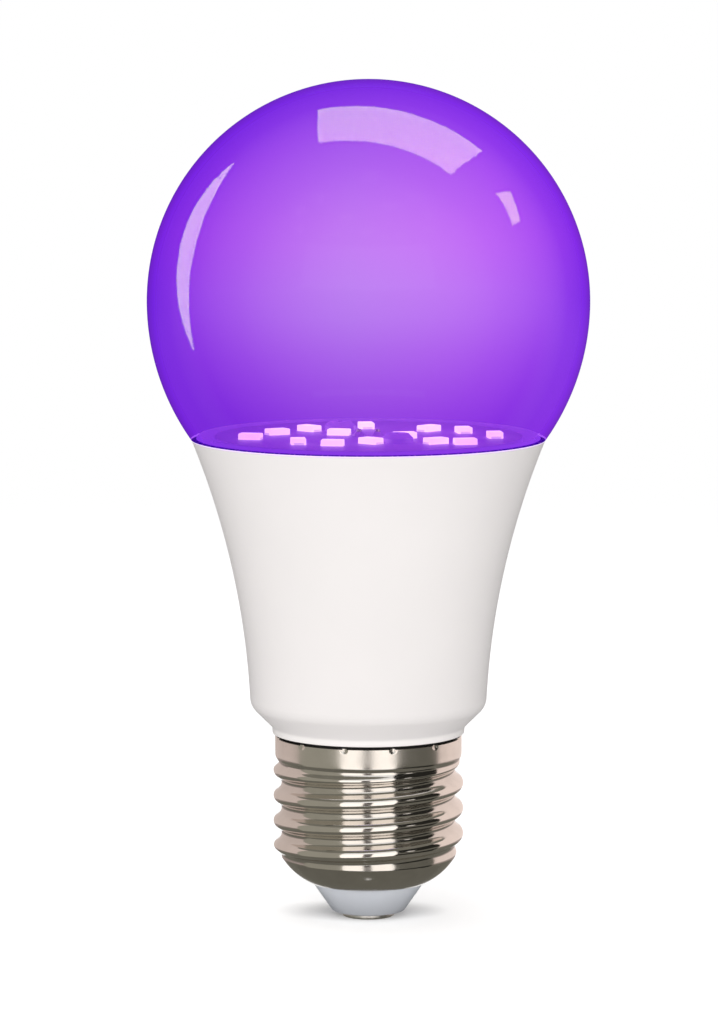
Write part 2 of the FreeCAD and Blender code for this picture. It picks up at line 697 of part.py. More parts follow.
def live_wire():
    """From the driver board down to the rivet's end."""
    y = DRIVER_FRONT - WIRE_RADIUS - FIT
    rivet_z = CONTACT_HEIGHT + SHANK_LENGTH
    points = [
        vec(-WIRE_SPREAD, y, WIRE_TOP_Z),
        vec(-WIRE_SPREAD, y, DRIVER_Z - WIRE_BEND / 2),
        vec(0, 0, rivet_z + 1.25 * WIRE_BEND),
        vec(0, 0, rivet_z),
    ]
    return bent_rod(WIRE_RADIUS, WIRE_BEND, points)


def neutral_wire():
    """From the driver board down, and out under the neck to the shell."""
    y = DRIVER_FRONT - WIRE_RADIUS - FIT
    low_z = NECK_Z - WIRE_RADIUS - FREE_FIT
    wall = NOSE.radius(min(low_z - WIRE_RADIUS, THREAD_Z), SHEET + FIT)
    end = math.sqrt(wall ** 2 - (abs(y) + WIRE_RADIUS) ** 2)
    points = [vec(WIRE_SPREAD, y, WIRE_TOP_Z), vec(WIRE_SPREAD, y, low_z), vec(end, y, low_z)]
    return bent_rod(WIRE_RADIUS, WIRE_BEND, points)


def pieces():
    """Every piece, by name."""
    found = {
        "globe": globe(),
        "housing": housing(),
        "screw_shell": screw_shell(),
        "base_insulator": base_insulator(),
        "centre_contact": centre_contact(),
        "heat_sink": heat_sink(),
        "led_board": led_board(),
        "board_screws": board_screws(),
        "pin_header": pin_header(),
        "supply_pins": supply_pins(),
        "pin_solder": pin_solder(),
        "driver_board": driver_board(),
        "input_capacitor": capacitor_can(INPUT_CAN_RADIUS, INPUT_CAN_LENGTH, INPUT_CAN_X, FIRST_ROW_Z),
        "input_capacitor_leads": can_leads(INPUT_CAN_RADIUS, INPUT_CAN_LEADS, INPUT_CAN_X, FIRST_ROW_Z),
        "output_capacitor": capacitor_can(OUTPUT_CAN_RADIUS, OUTPUT_CAN_LENGTH, OUTPUT_CAN_X, THIRD_ROW_Z),
        "output_capacitor_leads": can_leads(OUTPUT_CAN_RADIUS, OUTPUT_CAN_LEADS, OUTPUT_CAN_X, THIRD_ROW_Z),
        "fuse_resistor": fuse_resistor(),
        "fuse_leads": fuse_leads(),
        "film_capacitor": film_capacitor(),
        "film_leads": film_leads(),
        "transformer_core": transformer_core(),
        "transformer_bobbin": transformer_bobbin(),
        "transformer_winding": transformer_winding(),
        "transformer_pins": transformer_pins(),
        "rectifier": flat_package(RECTIFIER_SIZE, RECTIFIER_LEGS, FIRST_ROW_Z + FUSE_LENGTH / 2),
        "driver_chip": flat_package(CHIP_SIZE, CHIP_LEGS, CORE_Z),
        "chip_resistors": chip_resistors(),
        "live_wire": live_wire(),
        "neutral_wire": neutral_wire(),
    }
    for index, chip in enumerate(led_chips(), 1):
        found["led_chip_%02d" % index] = chip
    return found


def main():
    os.makedirs("parts", exist_ok=True)
    for name, shape in pieces().items():
        shape.exportStep("parts/%s.step" % name)


main()
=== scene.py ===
"""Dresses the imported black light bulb: tinted globe, moulded housing, rolled screw shell and lamp parts."""

import math

import bmesh
import bpy
from bpy.props import FloatProperty, FloatVectorProperty, IntProperty, PointerProperty
from mathutils import Matrix, Vector


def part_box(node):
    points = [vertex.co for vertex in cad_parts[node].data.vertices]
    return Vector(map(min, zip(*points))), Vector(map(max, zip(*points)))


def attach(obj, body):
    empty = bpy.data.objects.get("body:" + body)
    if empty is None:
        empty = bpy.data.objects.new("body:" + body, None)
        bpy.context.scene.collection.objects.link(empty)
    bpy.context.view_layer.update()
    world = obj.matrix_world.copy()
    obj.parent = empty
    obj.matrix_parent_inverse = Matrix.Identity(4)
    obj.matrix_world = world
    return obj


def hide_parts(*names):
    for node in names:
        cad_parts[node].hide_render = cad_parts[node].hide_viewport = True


bl_info = {
    "name": "Black Light Bulb",
    "version": (1, 0, 0),
    "blender": (4, 5, 0),
    "location": "3D View > Sidebar > Bulb",
    "description": "Builds the visible pieces and finishes of a black light bulb on its packed frame",
    "category": "Add Mesh",
}

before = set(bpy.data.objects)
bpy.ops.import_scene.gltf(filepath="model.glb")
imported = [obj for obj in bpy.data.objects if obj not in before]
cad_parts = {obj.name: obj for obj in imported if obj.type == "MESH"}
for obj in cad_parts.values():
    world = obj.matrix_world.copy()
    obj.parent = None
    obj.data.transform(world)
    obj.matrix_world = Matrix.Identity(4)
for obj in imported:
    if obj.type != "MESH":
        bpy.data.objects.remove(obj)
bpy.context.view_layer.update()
MM = 0.001


def span(node):
    """Half width, lowest level and highest level of a node of the frame."""
    low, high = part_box(node)
    return (high.x - low.x) / 2, low.z, high.z


GLOBE_RADIUS, SPIGOT_Z, CROWN_Z = span("globe")
RIM_RADIUS, NECK_Z, RIM_Z = span("housing")
THREAD_RADIUS, NOSE_Z, CAP_Z = span("screw_shell")
LEDGE_RADIUS, INSULATOR_Z, LEDGE_Z = span("base_insulator")
CONTACT_RADIUS, CONTACT_Z, SHANK_Z = span("centre_contact")
WIDEST_Z = CROWN_Z - GLOBE_RADIUS
CHIP_NODES = sorted(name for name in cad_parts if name.startswith("led_chip_"))
# Play between pieces that seat in each other, and the smallest step between two levels
FIT = 0.1 * MM
HAIR = 0.01 * MM
# Points nearer than this are one point
MERGE = 1e-7
WHITE = (1.0, 1.0, 1.0)
# The globe's thin wall hardly bends the light that crosses it
CLEAR_IOR = 1.001
# Values between which a noise texture mostly lies
NOISE_LOW, NOISE_HIGH = 0.3, 0.7


def length(name, description, default):
    return FloatProperty(name=name, description=description, default=default, unit="LENGTH", precision=5)


def amount(name, description, default):
    return FloatProperty(name=name, description=description, default=default, min=0.0)


def tone(red, green, blue):
    """Linear colour of a screen colour given from 0 to 255."""
    def linear(value):
        value /= 255
        return value / 12.92 if value <= 0.04045 else ((value + 0.055) / 1.055) ** 2.4
    return (linear(red), linear(green), linear(blue))


def colour(name, description, default):
    return FloatVectorProperty(
        name=name, description=description, default=default, subtype="COLOR", size=3, min=0.0, max=1.0
    )


class GlobeSettings(bpy.types.PropertyGroup):
    wall: length("Wall", "Thickness of the globe", 1.2 * MM)
    tint: colour("Tint", "Colour of light straight through the lacquered globe", tone(188, 130, 242))
    edge_tint: colour("Edge tint", "Colour of light that crosses the globe's side", tone(94, 35, 168))
    # The foot tint is painted shade that darkens the globe towards the seam
    foot_shade_tint: colour("Foot tint", "Deeper colour of the globe towards the seam", (0.61, 0.30, 0.86))
    gloss: amount("Gloss", "Weight of the polished skin", 0.035)
    # The spill is a painted glow on the globe's foot, the board, the heat sink, the screws and the solder
    spill: colour(
        "Spill", "Light of the LED packages on the globe's foot and on the board", (0.37, 0.22, 0.56)
    )
    # The bead is a painted highlight: a glowing line where the globe meets the rim
    bead: colour("Bead", "Pale line of light where the globe meets the rim", (0.85, 0.72, 0.98))
    bead_height: length("Bead height", "Height of that line", 0.2 * MM)


class HousingSettings(bpy.types.PropertyGroup):
    wall: length("Wall", "Thickness of the moulding", 1.4 * MM)
    sag: length("Sag", "How far the side bows in from a straight cone", 1.5 * MM)
    waist: length("Waist radius", "Radius at the top of the shoulder", 16.15 * MM)
    shoulder: length("Shoulder radius", "Rounding of the shoulder", 2.55 * MM)
    lip_radius: length("Lip radius", "Radius of the edge over the screw shell", 13.1 * MM)
    lip_height: length("Lip height", "Height of that edge", 0.9 * MM)
    lip_flare: length("Lip flare", "How far the edge widens over its height", 0.05 * MM)
    rim_lip: length("Rim lip", "Wall of the rim beside the globe's spigot", 0.6 * MM)
    neck_wall: length("Neck wall", "Thickness of the neck inside the screw shell", 1.3 * MM)
    groove_width: length("Groove width", "Height of the groove behind the punch marks", 1.4 * MM)
    groove_depth: length("Groove depth", "Depth of that groove", 0.6 * MM)
    white: colour("White", "Colour of the moulded plastic", tone(241, 238, 237))


class ShellSettings(bpy.types.PropertyGroup):
    depth: length("Thread depth", "From crest to root", 1.1 * MM)
    pitch: length("Pitch", "Rise of the thread in one turn", 3.5 * MM)
    sheet: length("Sheet", "Thickness of the rolled sheet", 0.3 * MM)
    nose_height: length("Nose height", "Height of the rounded cone below the thread", 3.45 * MM)
    nose_radius: length("Nose radius", "Opening that holds the insulator", 8.1 * MM)
    nose_bulge: length("Nose bulge", "How far the cone bows out", 0.37 * MM)
    collar_radius: length("Band radius", "Radius of the plain band above the thread", 12.75 * MM)
    collar_height: length("Band height", "Height of the plain band", 2.6 * MM)
    punches: IntProperty(name="Punch marks", description="Marks that hold the shell", default=12, min=1)
    punch_radius: length("Punch radius", "Half width of a mark", 0.55 * MM)
    punch_depth: length("Punch depth", "Depth of a mark", 0.16 * MM)
    punch_drop: length("Punch drop", "Middle of a mark below the housing's lip", 0.56 * MM)
    edge_drop: length("Edge drop", "How far the sheet's edge stands back from the lip", 0.45 * MM)
    plating: colour("Plating", "Colour of the bright plating", (0.80, 0.76, 0.715))


class FootSettings(bpy.types.PropertyGroup):
    cone_radius: length("Cone foot", "Radius of the insulator at its foot", 4.95 * MM)
    ledge_width: length("Ledge", "Width of the insulator's ledge inside the shell", 1.3 * MM)
    shank_radius: length("Shank", "Radius of the contact's rivet shank", 1.2 * MM)
    head_height: length("Head height", "Height of the contact's head", 0.8 * MM)
    pale: colour("Insulator", "Colour of the insulator", tone(216, 220, 227))


class LampSettings(bpy.types.PropertyGroup):
    chip_length: length("Chip length", "Length of an LED package", 3.0 * MM)
    chip_width: length("Chip width", "Width of an LED package", 2.0 * MM)
    chip_height: length("Chip height", "Height of an LED package", 0.8 * MM)
    window: length("Window", "Radius of the round window", 0.7 * MM)
    glow: colour("Glow", "Colour of the lit packages", (0.72, 1.0, 0.42))
    glow_strength: amount("Glow strength", "Brightness of the lit packages", 3.0)


class StageSettings(bpy.types.PropertyGroup):
    camera_place: FloatVectorProperty(
        name="Camera", description="Place of the camera", default=(-1.28 * MM, -671 * MM, 133.7 * MM),
        subtype="TRANSLATION", size=3
    )
    camera_tilt: FloatProperty(
        name="Tilt", description="How far the camera looks down", default=math.radians(6.63),
        subtype="ANGLE"
    )
    lens: amount("Lens", "Focal length of the camera in millimetres", 174.6)
    ambient: amount("Ambient", "Light from all round", 0.53)
    key: amount("Key", "Power of the soft light in front", 5.7)
    top: amount("Top", "Power of the soft light overhead", 4.0)
    fill: amount("Fill", "Power of the low lights round the bulb", 1.5)
    floor_radius: length("Floor", "Radius of the floor", 0.55)


class Finish:
    """A material made of nodes on the principled shader."""

    def __init__(self, name, inputs):
        self.material = bpy.data.materials.new(name)
        self.material.use_nodes = True
        self.tree = self.material.node_tree
        self.shader = self.tree.nodes["Principled BSDF"]
        self.output = self.tree.nodes["Material Output"]
        self.place = self.add("ShaderNodeTexCoord").outputs["Object"]
        self.fill(self.shader, inputs)

    def add(self, kind, inputs=None, **settings):
        node = self.tree.nodes.new(kind)
        for name, value in settings.items():
            setattr(node, name, value)
        self.fill(node, inputs or {})
        return node

    def fill(self, node, inputs):
        for name, value in inputs.items():
            socket = node.inputs[name]
            if isinstance(value, bpy.types.NodeSocket):
                self.tree.links.new(value, socket)
            elif socket.type == "RGBA":
                socket.default_value = (*value, 1.0)
            else:
                socket.default_value = value

    def stretched(self, scale):
        return self.add("ShaderNodeMapping", {"Vector": self.place, "Scale": scale}).outputs[0]

    def noise(self, scale, detail=4.0, stretch=None):
        place = self.stretched(stretch) if stretch else self.place
        inputs = {"Vector": place, "Scale": scale, "Detail": detail}
        return self.add("ShaderNodeTexNoise", inputs).outputs[0]

    def height(self):
        return self.add("ShaderNodeSeparateXYZ", {"Vector": self.place}).outputs["Z"]

    def reach(self):
        """Distance from the axis."""
        return self.vectors("LENGTH", self.stretched((1, 1, 0))).outputs["Value"]

    def spread(self, value, low, high, to_low=0.0, to_high=1.0):
        inputs = {"Value": value, "From Min": low, "From Max": high, "To Min": to_low, "To Max": to_high}
        return self.add("ShaderNodeMapRange", inputs).outputs["Result"]

    def ramp(self, value, *stops):
        """Colour along stops of (position, colour)."""
        node = self.add("ShaderNodeValToRGB", {"Fac": value})
        elements = node.color_ramp.elements
        while len(elements) < len(stops):
            elements.new(1.0)
        for element, (position, shade) in zip(elements, stops):
            element.position = position
            element.color = (*shade, 1.0)
        return node.outputs["Color"]

    def drift(self, noise, low, high):
        """Value that drifts with a noise."""
        return self.spread(noise, NOISE_LOW, NOISE_HIGH, low, high)

    def mottled(self, noise, dark, light):
        """Colour that drifts with a noise."""
        return self.ramp(noise, (NOISE_LOW, dark), (NOISE_HIGH, light))

    def maths(self, operation, *values):
        return self.add("ShaderNodeMath", dict(enumerate(values)), operation=operation).outputs[0]

    def vectors(self, operation, *values):
        return self.add("ShaderNodeVectorMath", dict(enumerate(values)), operation=operation)

    def times(self, first, *others):
        """Product of colours."""
        for other in others:
            mix = self.add("ShaderNodeMix", data_type="RGBA", blend_type="MULTIPLY")
            mix.inputs["Factor"].default_value = 1.0
            self.tree.links.new(first, mix.inputs[6])
            self.tree.links.new(other, mix.inputs[7])
            first = mix.outputs[2]
        return first

    def paint(self, socket):
        self.fill(self.shader, {"Base Color": socket})

    def roughen(self, socket):
        self.fill(self.shader, {"Roughness": socket})

    def emboss(self, heights, distance, strength):
        bump = self.add("ShaderNodeBump", {"Height": heights, "Distance": distance, "Strength": strength})
        self.fill(self.shader, {"Normal": bump.outputs["Normal"]})


def scaled(shade, part):
    """Colour made darker, or lighter by a part over 1."""
    return tuple(value * part for value in shade)


def bowed(low, high, sag, steps, inset=0.0):
    """Points of the shallow arc from low to high that stands out from its chord by sag.

    Inset gives the parallel arc that much nearer to the axis.
    """
    low, high = Vector(low), Vector(high)
    chord = high - low
    along = chord.normalized()
    outward = Vector((along.y, -along.x))
    radius = sag / 2 + chord.length ** 2 / (8 * sag)
    half = math.asin(chord.length / (2 * radius))
    centre = (low + high) / 2 - outward * (radius - sag)
    points = []
    for step in range(steps + 1):
        angle = half * (2 * step / steps - 1)
        away = along * math.sin(angle) + outward * math.cos(angle)
        points.append(tuple(centre + away * radius - away * inset))
    return points


def round_edge(before, corner, after, radius, steps=5):
    """Points of a rounding at a corner between two legs."""
    before, corner, after = Vector(before), Vector(corner), Vector(after)
    start = corner + (before - corner).normalized() * radius
    end = corner + (after - corner).normalized() * radius
    points = []
    for step in range(steps + 1):
        part = step / steps
        points.append(tuple(start.lerp(corner, part).lerp(corner.lerp(end, part), part)))
    return points


def round_arc(centre, radius, first_deg, last_deg, steps):
    """Points of an arc about a centre, in degrees from level up."""
    points = []
    for step in range(steps + 1):
        angle = math.radians(first_deg + (last_deg - first_deg) * step / steps)
        points.append((centre[0] + radius * math.cos(angle), centre[1] + radius * math.sin(angle)))
    return points


def skin(name, rings, closed=True):
    """Object whose faces join each ring of points to the next. A ring of one point is a pole."""
    mesh = bmesh.new()
    loops = [[mesh.verts.new(point) for point in ring] for ring in rings]
    pairs = list(zip(loops, loops[1:]))
    if closed:
        pairs.append((loops[-1], loops[0]))
    for one, other in pairs:
        count = max(len(one), len(other))
        if len(one) == len(other) == 1:
            continue
        for index in range(count):
            after = (index + 1) % count
            corners = [one[index % len(one)], one[after % len(one)]]
            corners += [other[after % len(other)], other[index % len(other)]]
            mesh.faces.new(list(dict.fromkeys(corners)))
    return finished(name, mesh)


def finished(name, mesh, sharp_deg=35.0):
    """Object of a mesh, smooth but for its sharp edges."""
    bmesh.ops.remove_doubles(mesh, verts=mesh.verts, dist=MERGE)
    bmesh.ops.recalc_face_normals(mesh, faces=mesh.faces)
    data = bpy.data.meshes.new(name)
    mesh.to_mesh(data)
    mesh.free()
    data.shade_smooth()
    data.set_sharp_from_angle(angle=math.radians(sharp_deg))
    piece = bpy.data.objects.new(name, data)
    bpy.context.scene.collection.objects.link(piece)
    return piece


def circle(radius, height, sides):
    """Points of a level circle about the axis."""
    turns = [2 * math.pi * side / sides for side in range(sides)]
    return [(radius * math.cos(turn), radius * math.sin(turn), height) for turn in turns]


def turned(name, outline, sides=192):
    """Object made by turning a closed outline of (radius, height) points about the axis."""
    rings = []
    for radius, height in outline:
        if radius < MERGE:
            rings.append([(0.0, 0.0, height)])
        else:
            rings.append(circle(radius, height, sides))
    return skin(name, rings)


def dress(piece, finishes, slot, *nodes):
    """Gives a piece its finishes and puts it in the place of its nodes."""
    for finish in finishes:
        piece.data.materials.append(finish)
    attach(piece, "root")
    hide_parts(*nodes)


def refinish(finish, *nodes):
    """Gives nodes of the frame a finish."""
    for name in nodes:
        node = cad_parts[name]
        if not node.material_slots:
            raise RuntimeError(f"{name} has no material slot")
        for slot in node.material_slots:
            slot.material = finish


def rim_side(settings, inset, steps):
    """Side of the housing from its waist to the rim."""
    waist_z = housing_levels(settings)[2]
    return bowed((settings.waist, waist_z), (RIM_RADIUS, RIM_Z), -settings.sag, steps, inset)


def housing_levels(settings):
    """Height of the lip's top, and radius and height of the shoulder, up to the waist."""
    lip_z = CAP_Z + settings.lip_height
    eave = settings.waist - settings.shoulder * (1 - math.sqrt(0.5))
    eave_z = lip_z + eave - settings.lip_radius - settings.lip_flare
    return lip_z, (eave, eave_z), eave_z + settings.shoulder * math.sqrt(0.5)


def tinted_lacquer(settings):
    """Clear purple lacquer: deeper where light crosses it at a slant, and towards the foot.

    It is deeper towards the foot as painted shade, painted lighter to the right and darker to the left as
    painted light and shade, rosier over the middle, and painted lighter low on its sides as painted light.
    """
    finish = Finish("tinted_lacquer", {
        "Transmission Weight": 1.0,
        "IOR": CLEAR_IOR,
        "Roughness": 0.0,
        "Coat IOR": 2.5,
        "Coat Roughness": 0.02,
    })
    slant = finish.add("ShaderNodeLayerWeight", {"Blend": 0.5}).outputs["Facing"]
    finish.fill(finish.shader, {"Coat Weight": finish.spread(slant, 0.65, 0.82, settings.gloss, 0.0)})
    depths = ((0.0, 1.0), (0.083, 1.12), (0.2, 1.33), (0.4, 1.66), (0.564, 2.15), (0.757, 2.55))
    stops = [(part, tuple(value ** depth for value in settings.tint)) for part, depth in depths]
    across = finish.ramp(slant, *stops, (1.0, settings.edge_tint))
    # Painted shade: the lacquer is made deeper towards the foot with the foot tint
    level = finish.spread(finish.height(), RIM_Z, WIDEST_Z)
    level = finish.maths("ADD", level, finish.drift(finish.noise(28.0, detail=1.0), -0.05, 0.05))
    between = tuple(math.sqrt(value) for value in settings.foot_shade_tint)
    foot = finish.ramp(level, (0.0, settings.foot_shade_tint), (0.5, between), (1.0, WHITE))
    # Painted light and shade: the lacquer is made lighter to the right and darker to the left
    sideways = finish.add("ShaderNodeSeparateXYZ", {"Vector": finish.place}).outputs["X"]
    sideways = finish.spread(sideways, -0.8 * GLOBE_RADIUS, 0.8 * GLOBE_RADIUS)
    painted_side_light = finish.ramp(sideways, (0.0, (0.93, 0.68, 0.99)), (0.45, WHITE), (0.85, (1.14, 1.0, 1.06)))
    above = finish.spread(finish.height(), WIDEST_Z, CROWN_Z)
    rosy = finish.ramp(above, (0.0, WHITE), (0.3, (1.14, 1.0, 1.03)), (0.75, (1.06, 0.95, 1.03)))
    # Painted light: the globe's sides are made lighter low down, where they cross at a slant
    low_down = finish.spread(level, 0.0, 1.1, 1.0, 0.0)
    low_side_light_mask = finish.maths("MULTIPLY", finish.spread(slant, 0.38, 0.7), low_down)
    lighter = finish.ramp(low_side_light_mask, (0.0, WHITE), (1.0, (1.82, 3.75, 1.14)))
    finish.paint(finish.times(across, foot, painted_side_light, rosy, lighter))
    return finish.material


def clear_inside():
    """Uncoloured inner face of the globe."""
    finish = Finish("clear_inside", {"Base Color": WHITE, "Transmission Weight": 1.0, "IOR": CLEAR_IOR})
    finish.roughen(finish.drift(finish.noise(300.0, detail=2.0), 0.0, 0.004))
    return finish.material


def lit_coat(name, spill, strength, top=None):
    """Coat with a painted glow that stands in for the light of the LED packages. Top is the part of it on
    upward faces.
    """
    finish = Finish(name, {"Emission Color": spill, "Roughness": 0.42})
    finish.paint(finish.mottled(finish.noise(300.0), (0.46, 0.3, 0.56), (0.5, 0.33, 0.6)))
    finish.emboss(finish.noise(1800.0), distance=0.01 * MM, strength=0.4)
    if top is None:
        finish.fill(finish.shader, {"Emission Strength": strength})
        return finish.material
    normal = finish.add("ShaderNodeNewGeometry").outputs["Normal"]
    upward = finish.add("ShaderNodeSeparateXYZ", {"Vector": normal}).outputs["Z"]
    caught = finish.spread(upward, 0.0, 1.0, strength, strength * top)
    finish.fill(finish.shader, {"Emission Strength": caught})
    return finish.material


def moulded_white(shade):
    """Satin white moulding with a fine spark-eroded texture and a lip painted brighter as painted light."""
    finish = Finish("moulded_white", {"IOR": 1.46})
    clouds = finish.mottled(finish.noise(60.0, detail=3.0), scaled(shade, 0.975), shade)
    # Painted light: the lip and the band just above it are made brighter, as if lit from below
    rise = finish.spread(finish.height(), CAP_Z, CAP_Z + 1.4 * MM)
    lip = finish.ramp(rise, (0.0, (1.1, 1.1, 1.09)), (0.55, (1.08, 1.08, 1.07)), (0.8, WHITE))
    finish.paint(finish.times(clouds, lip))
    grain = finish.noise(5200.0, detail=2.0)
    finish.roughen(finish.drift(grain, 0.37, 0.49))
    finish.emboss(grain, distance=0.012 * MM, strength=0.35)
    return finish.material


def plated_sheet(settings):
    """Bright plating on rolled sheet, a little darker in the roots as painted shade."""
    finish = Finish("plated_sheet", {"Metallic": 1.0})
    root = THREAD_RADIUS - settings.depth
    lines = finish.noise(9000.0, detail=3.0, stretch=(0.03, 0.03, 1.0))
    # Painted shade: the plating is made darker towards the thread's roots; the noise added to it stands for
    # stains
    root_shade = finish.spread(finish.reach(), root - 0.2 * MM, THREAD_RADIUS, 0.8, 0.0)
    stain = finish.spread(finish.noise(420.0, detail=5.0), 0.35, 0.75, -0.15, 0.35)
    shade_and_stain = finish.maths("ADD", root_shade, stain)
    finish.paint(finish.ramp(shade_and_stain, (0.0, settings.plating), (1.0, scaled(settings.plating, 0.86))))
    band_z = CAP_Z - settings.collar_height
    satin = finish.spread(finish.height(), band_z - 1.5 * MM, band_z + 0.5 * MM, 0.0, 0.14)
    finish.roughen(finish.maths("ADD", finish.spread(shade_and_stain, 0.0, 1.0, 0.09, 0.15), satin))
    finish.emboss(lines, distance=0.004 * MM, strength=0.4)
    return finish.material


class BulbOperator:
    """Shared words of the operators."""

    bl_options = {"REGISTER", "UNDO"}


class BULB_OT_globe(BulbOperator, bpy.types.Operator):
    """Blows the tinted globe with its foot and spigot"""

    bl_idname = "bulb.globe"
    bl_label = "Globe"

    def execute(self, context):
        settings = context.scene.bulb_globe
        housing = context.scene.bulb_housing
        foot_steps = 40
        dome_steps = 72
        chord = math.hypot(GLOBE_RADIUS - RIM_RADIUS, WIDEST_Z - RIM_Z)
        arc = chord ** 2 / (2 * (GLOBE_RADIUS - RIM_RADIUS))
        sag = arc - math.sqrt(arc ** 2 - chord ** 2 / 4)
        foot = ((RIM_RADIUS, RIM_Z), (GLOBE_RADIUS, WIDEST_Z), sag, foot_steps)
        middle = (0.0, WIDEST_Z)
        inner = GLOBE_RADIUS - settings.wall
        spigot = rim_side(housing, housing.rim_lip + FIT, steps=80)
        spigot = [point for point in spigot if point[1] > SPIGOT_Z]
        outline = bowed(*foot)[:-1]
        slope = (Vector(outline[1]) - Vector(outline[0])).normalized()
        outline.insert(1, tuple(Vector(outline[0]) + slope * settings.bead_height))
        outline += round_arc(middle, GLOBE_RADIUS, 0, 90, dome_steps)[:-1] + [(0.0, CROWN_Z)]
        outline += [(0.0, WIDEST_Z + inner)] + round_arc(middle, inner, 90, 0, dome_steps)[1:]
        outline += bowed(*foot, inset=settings.wall)[::-1][1:]
        outline += [(spigot[0][0] - settings.wall, SPIGOT_Z), (spigot[0][0], SPIGOT_Z)]
        outline.append(spigot[-1])
        piece = turned("globe_tinted", outline, sides=256)
        finishes = [
            tinted_lacquer(settings),
            clear_inside(),
            lit_coat("spigot_painted_glow", settings.spill, 0.7),
            lit_coat("bead_painted_highlight", settings.bead, 0.75),
        ]
        outside, inside, spigot_painted_glow, bead_painted_highlight = range(len(finishes))
        centre = Vector((0.0, 0.0, WIDEST_Z))
        for face in piece.data.polygons:
            face.material_index = outside if face.normal.dot(face.center - centre) > 0 else inside
            # The spigot gets a painted glow, and the bead above it a painted highlight
            if face.center.z < RIM_Z + 2 * HAIR:
                face.material_index = spigot_painted_glow
            elif face.center.z < RIM_Z + 0.6 * settings.bead_height:
                face.material_index = bead_painted_highlight
        dress(piece, finishes, "tinted_globe", "globe")
        return {"FINISHED"}


class BULB_OT_housing(BulbOperator, bpy.types.Operator):
    """Moulds the flared housing with its rim, shoulder, lip and neck"""

    bl_idname = "bulb.housing"
    bl_label = "Housing"

    def execute(self, context):
        settings = context.scene.bulb_housing
        shell = context.scene.bulb_shell
        lip_z, eave, waist_z = housing_levels(settings)
        lip = (settings.lip_radius, CAP_Z)
        lip_top = (settings.lip_radius + settings.lip_flare, lip_z)
        neck = THREAD_RADIUS - shell.depth - shell.sheet - 1.5 * FIT
        seat = shell.collar_radius - shell.sheet - FIT
        bore = neck - settings.neck_wall
        collar_z = CAP_Z - shell.collar_height
        groove_z = CAP_Z - settings.groove_width
        groove = seat - settings.groove_depth
        shoulder = (settings.waist - settings.shoulder, waist_z)
        side_steps = 60
        outside = rim_side(settings, 0.0, side_steps)
        rim = outside[-1]
        rim_inside = rim_side(settings, settings.rim_lip, side_steps)
        ledge_z = SPIGOT_Z - FIT
        step = [point for point in rim_inside if point[1] > ledge_z][0]
        inside = rim_side(settings, settings.wall, side_steps)
        inside = [point for point in inside if point[1] < ledge_z]
        outline = [(neck, NECK_Z), (neck, collar_z), (seat, collar_z + 0.7 * MM), (seat, groove_z)]
        outline += [(groove, groove_z), (groove, CAP_Z)]
        outline += round_edge((groove, CAP_Z), lip, lip_top, radius=0.22 * MM)
        outline += round_edge(lip, lip_top, eave, radius=0.3 * MM)
        outline += round_arc(shoulder, settings.shoulder, -45, 0, steps=12)[:-1]
        outline += outside[:-1]
        outline += round_edge(outside[-2], rim, rim_inside[-1], radius=0.16 * MM)
        outline += [rim_inside[-1], (step[0], ledge_z), (inside[-1][0], ledge_z)]
        outline += inside[::-1]
        outline += [(bore, waist_z - inside[0][0] + bore), (bore, NECK_Z)]
        piece = turned("housing_white", outline)
        # Painted shade: the groove under the lip gets a near-black finish that stands in for the shadow in
        # the gap
        groove_shade_slot = 1
        for face in piece.data.polygons:
            if groove_z + HAIR < face.center.z < CAP_Z + HAIR:
                face.material_index = groove_shade_slot
        finishes = [moulded_white(settings.white)]
        finishes.append(plain_finish("groove_painted_shade", (0.05, 0.047, 0.043), rough=0.6))
        dress(piece, finishes, "white_housing", "housing")
        return {"FINISHED"}


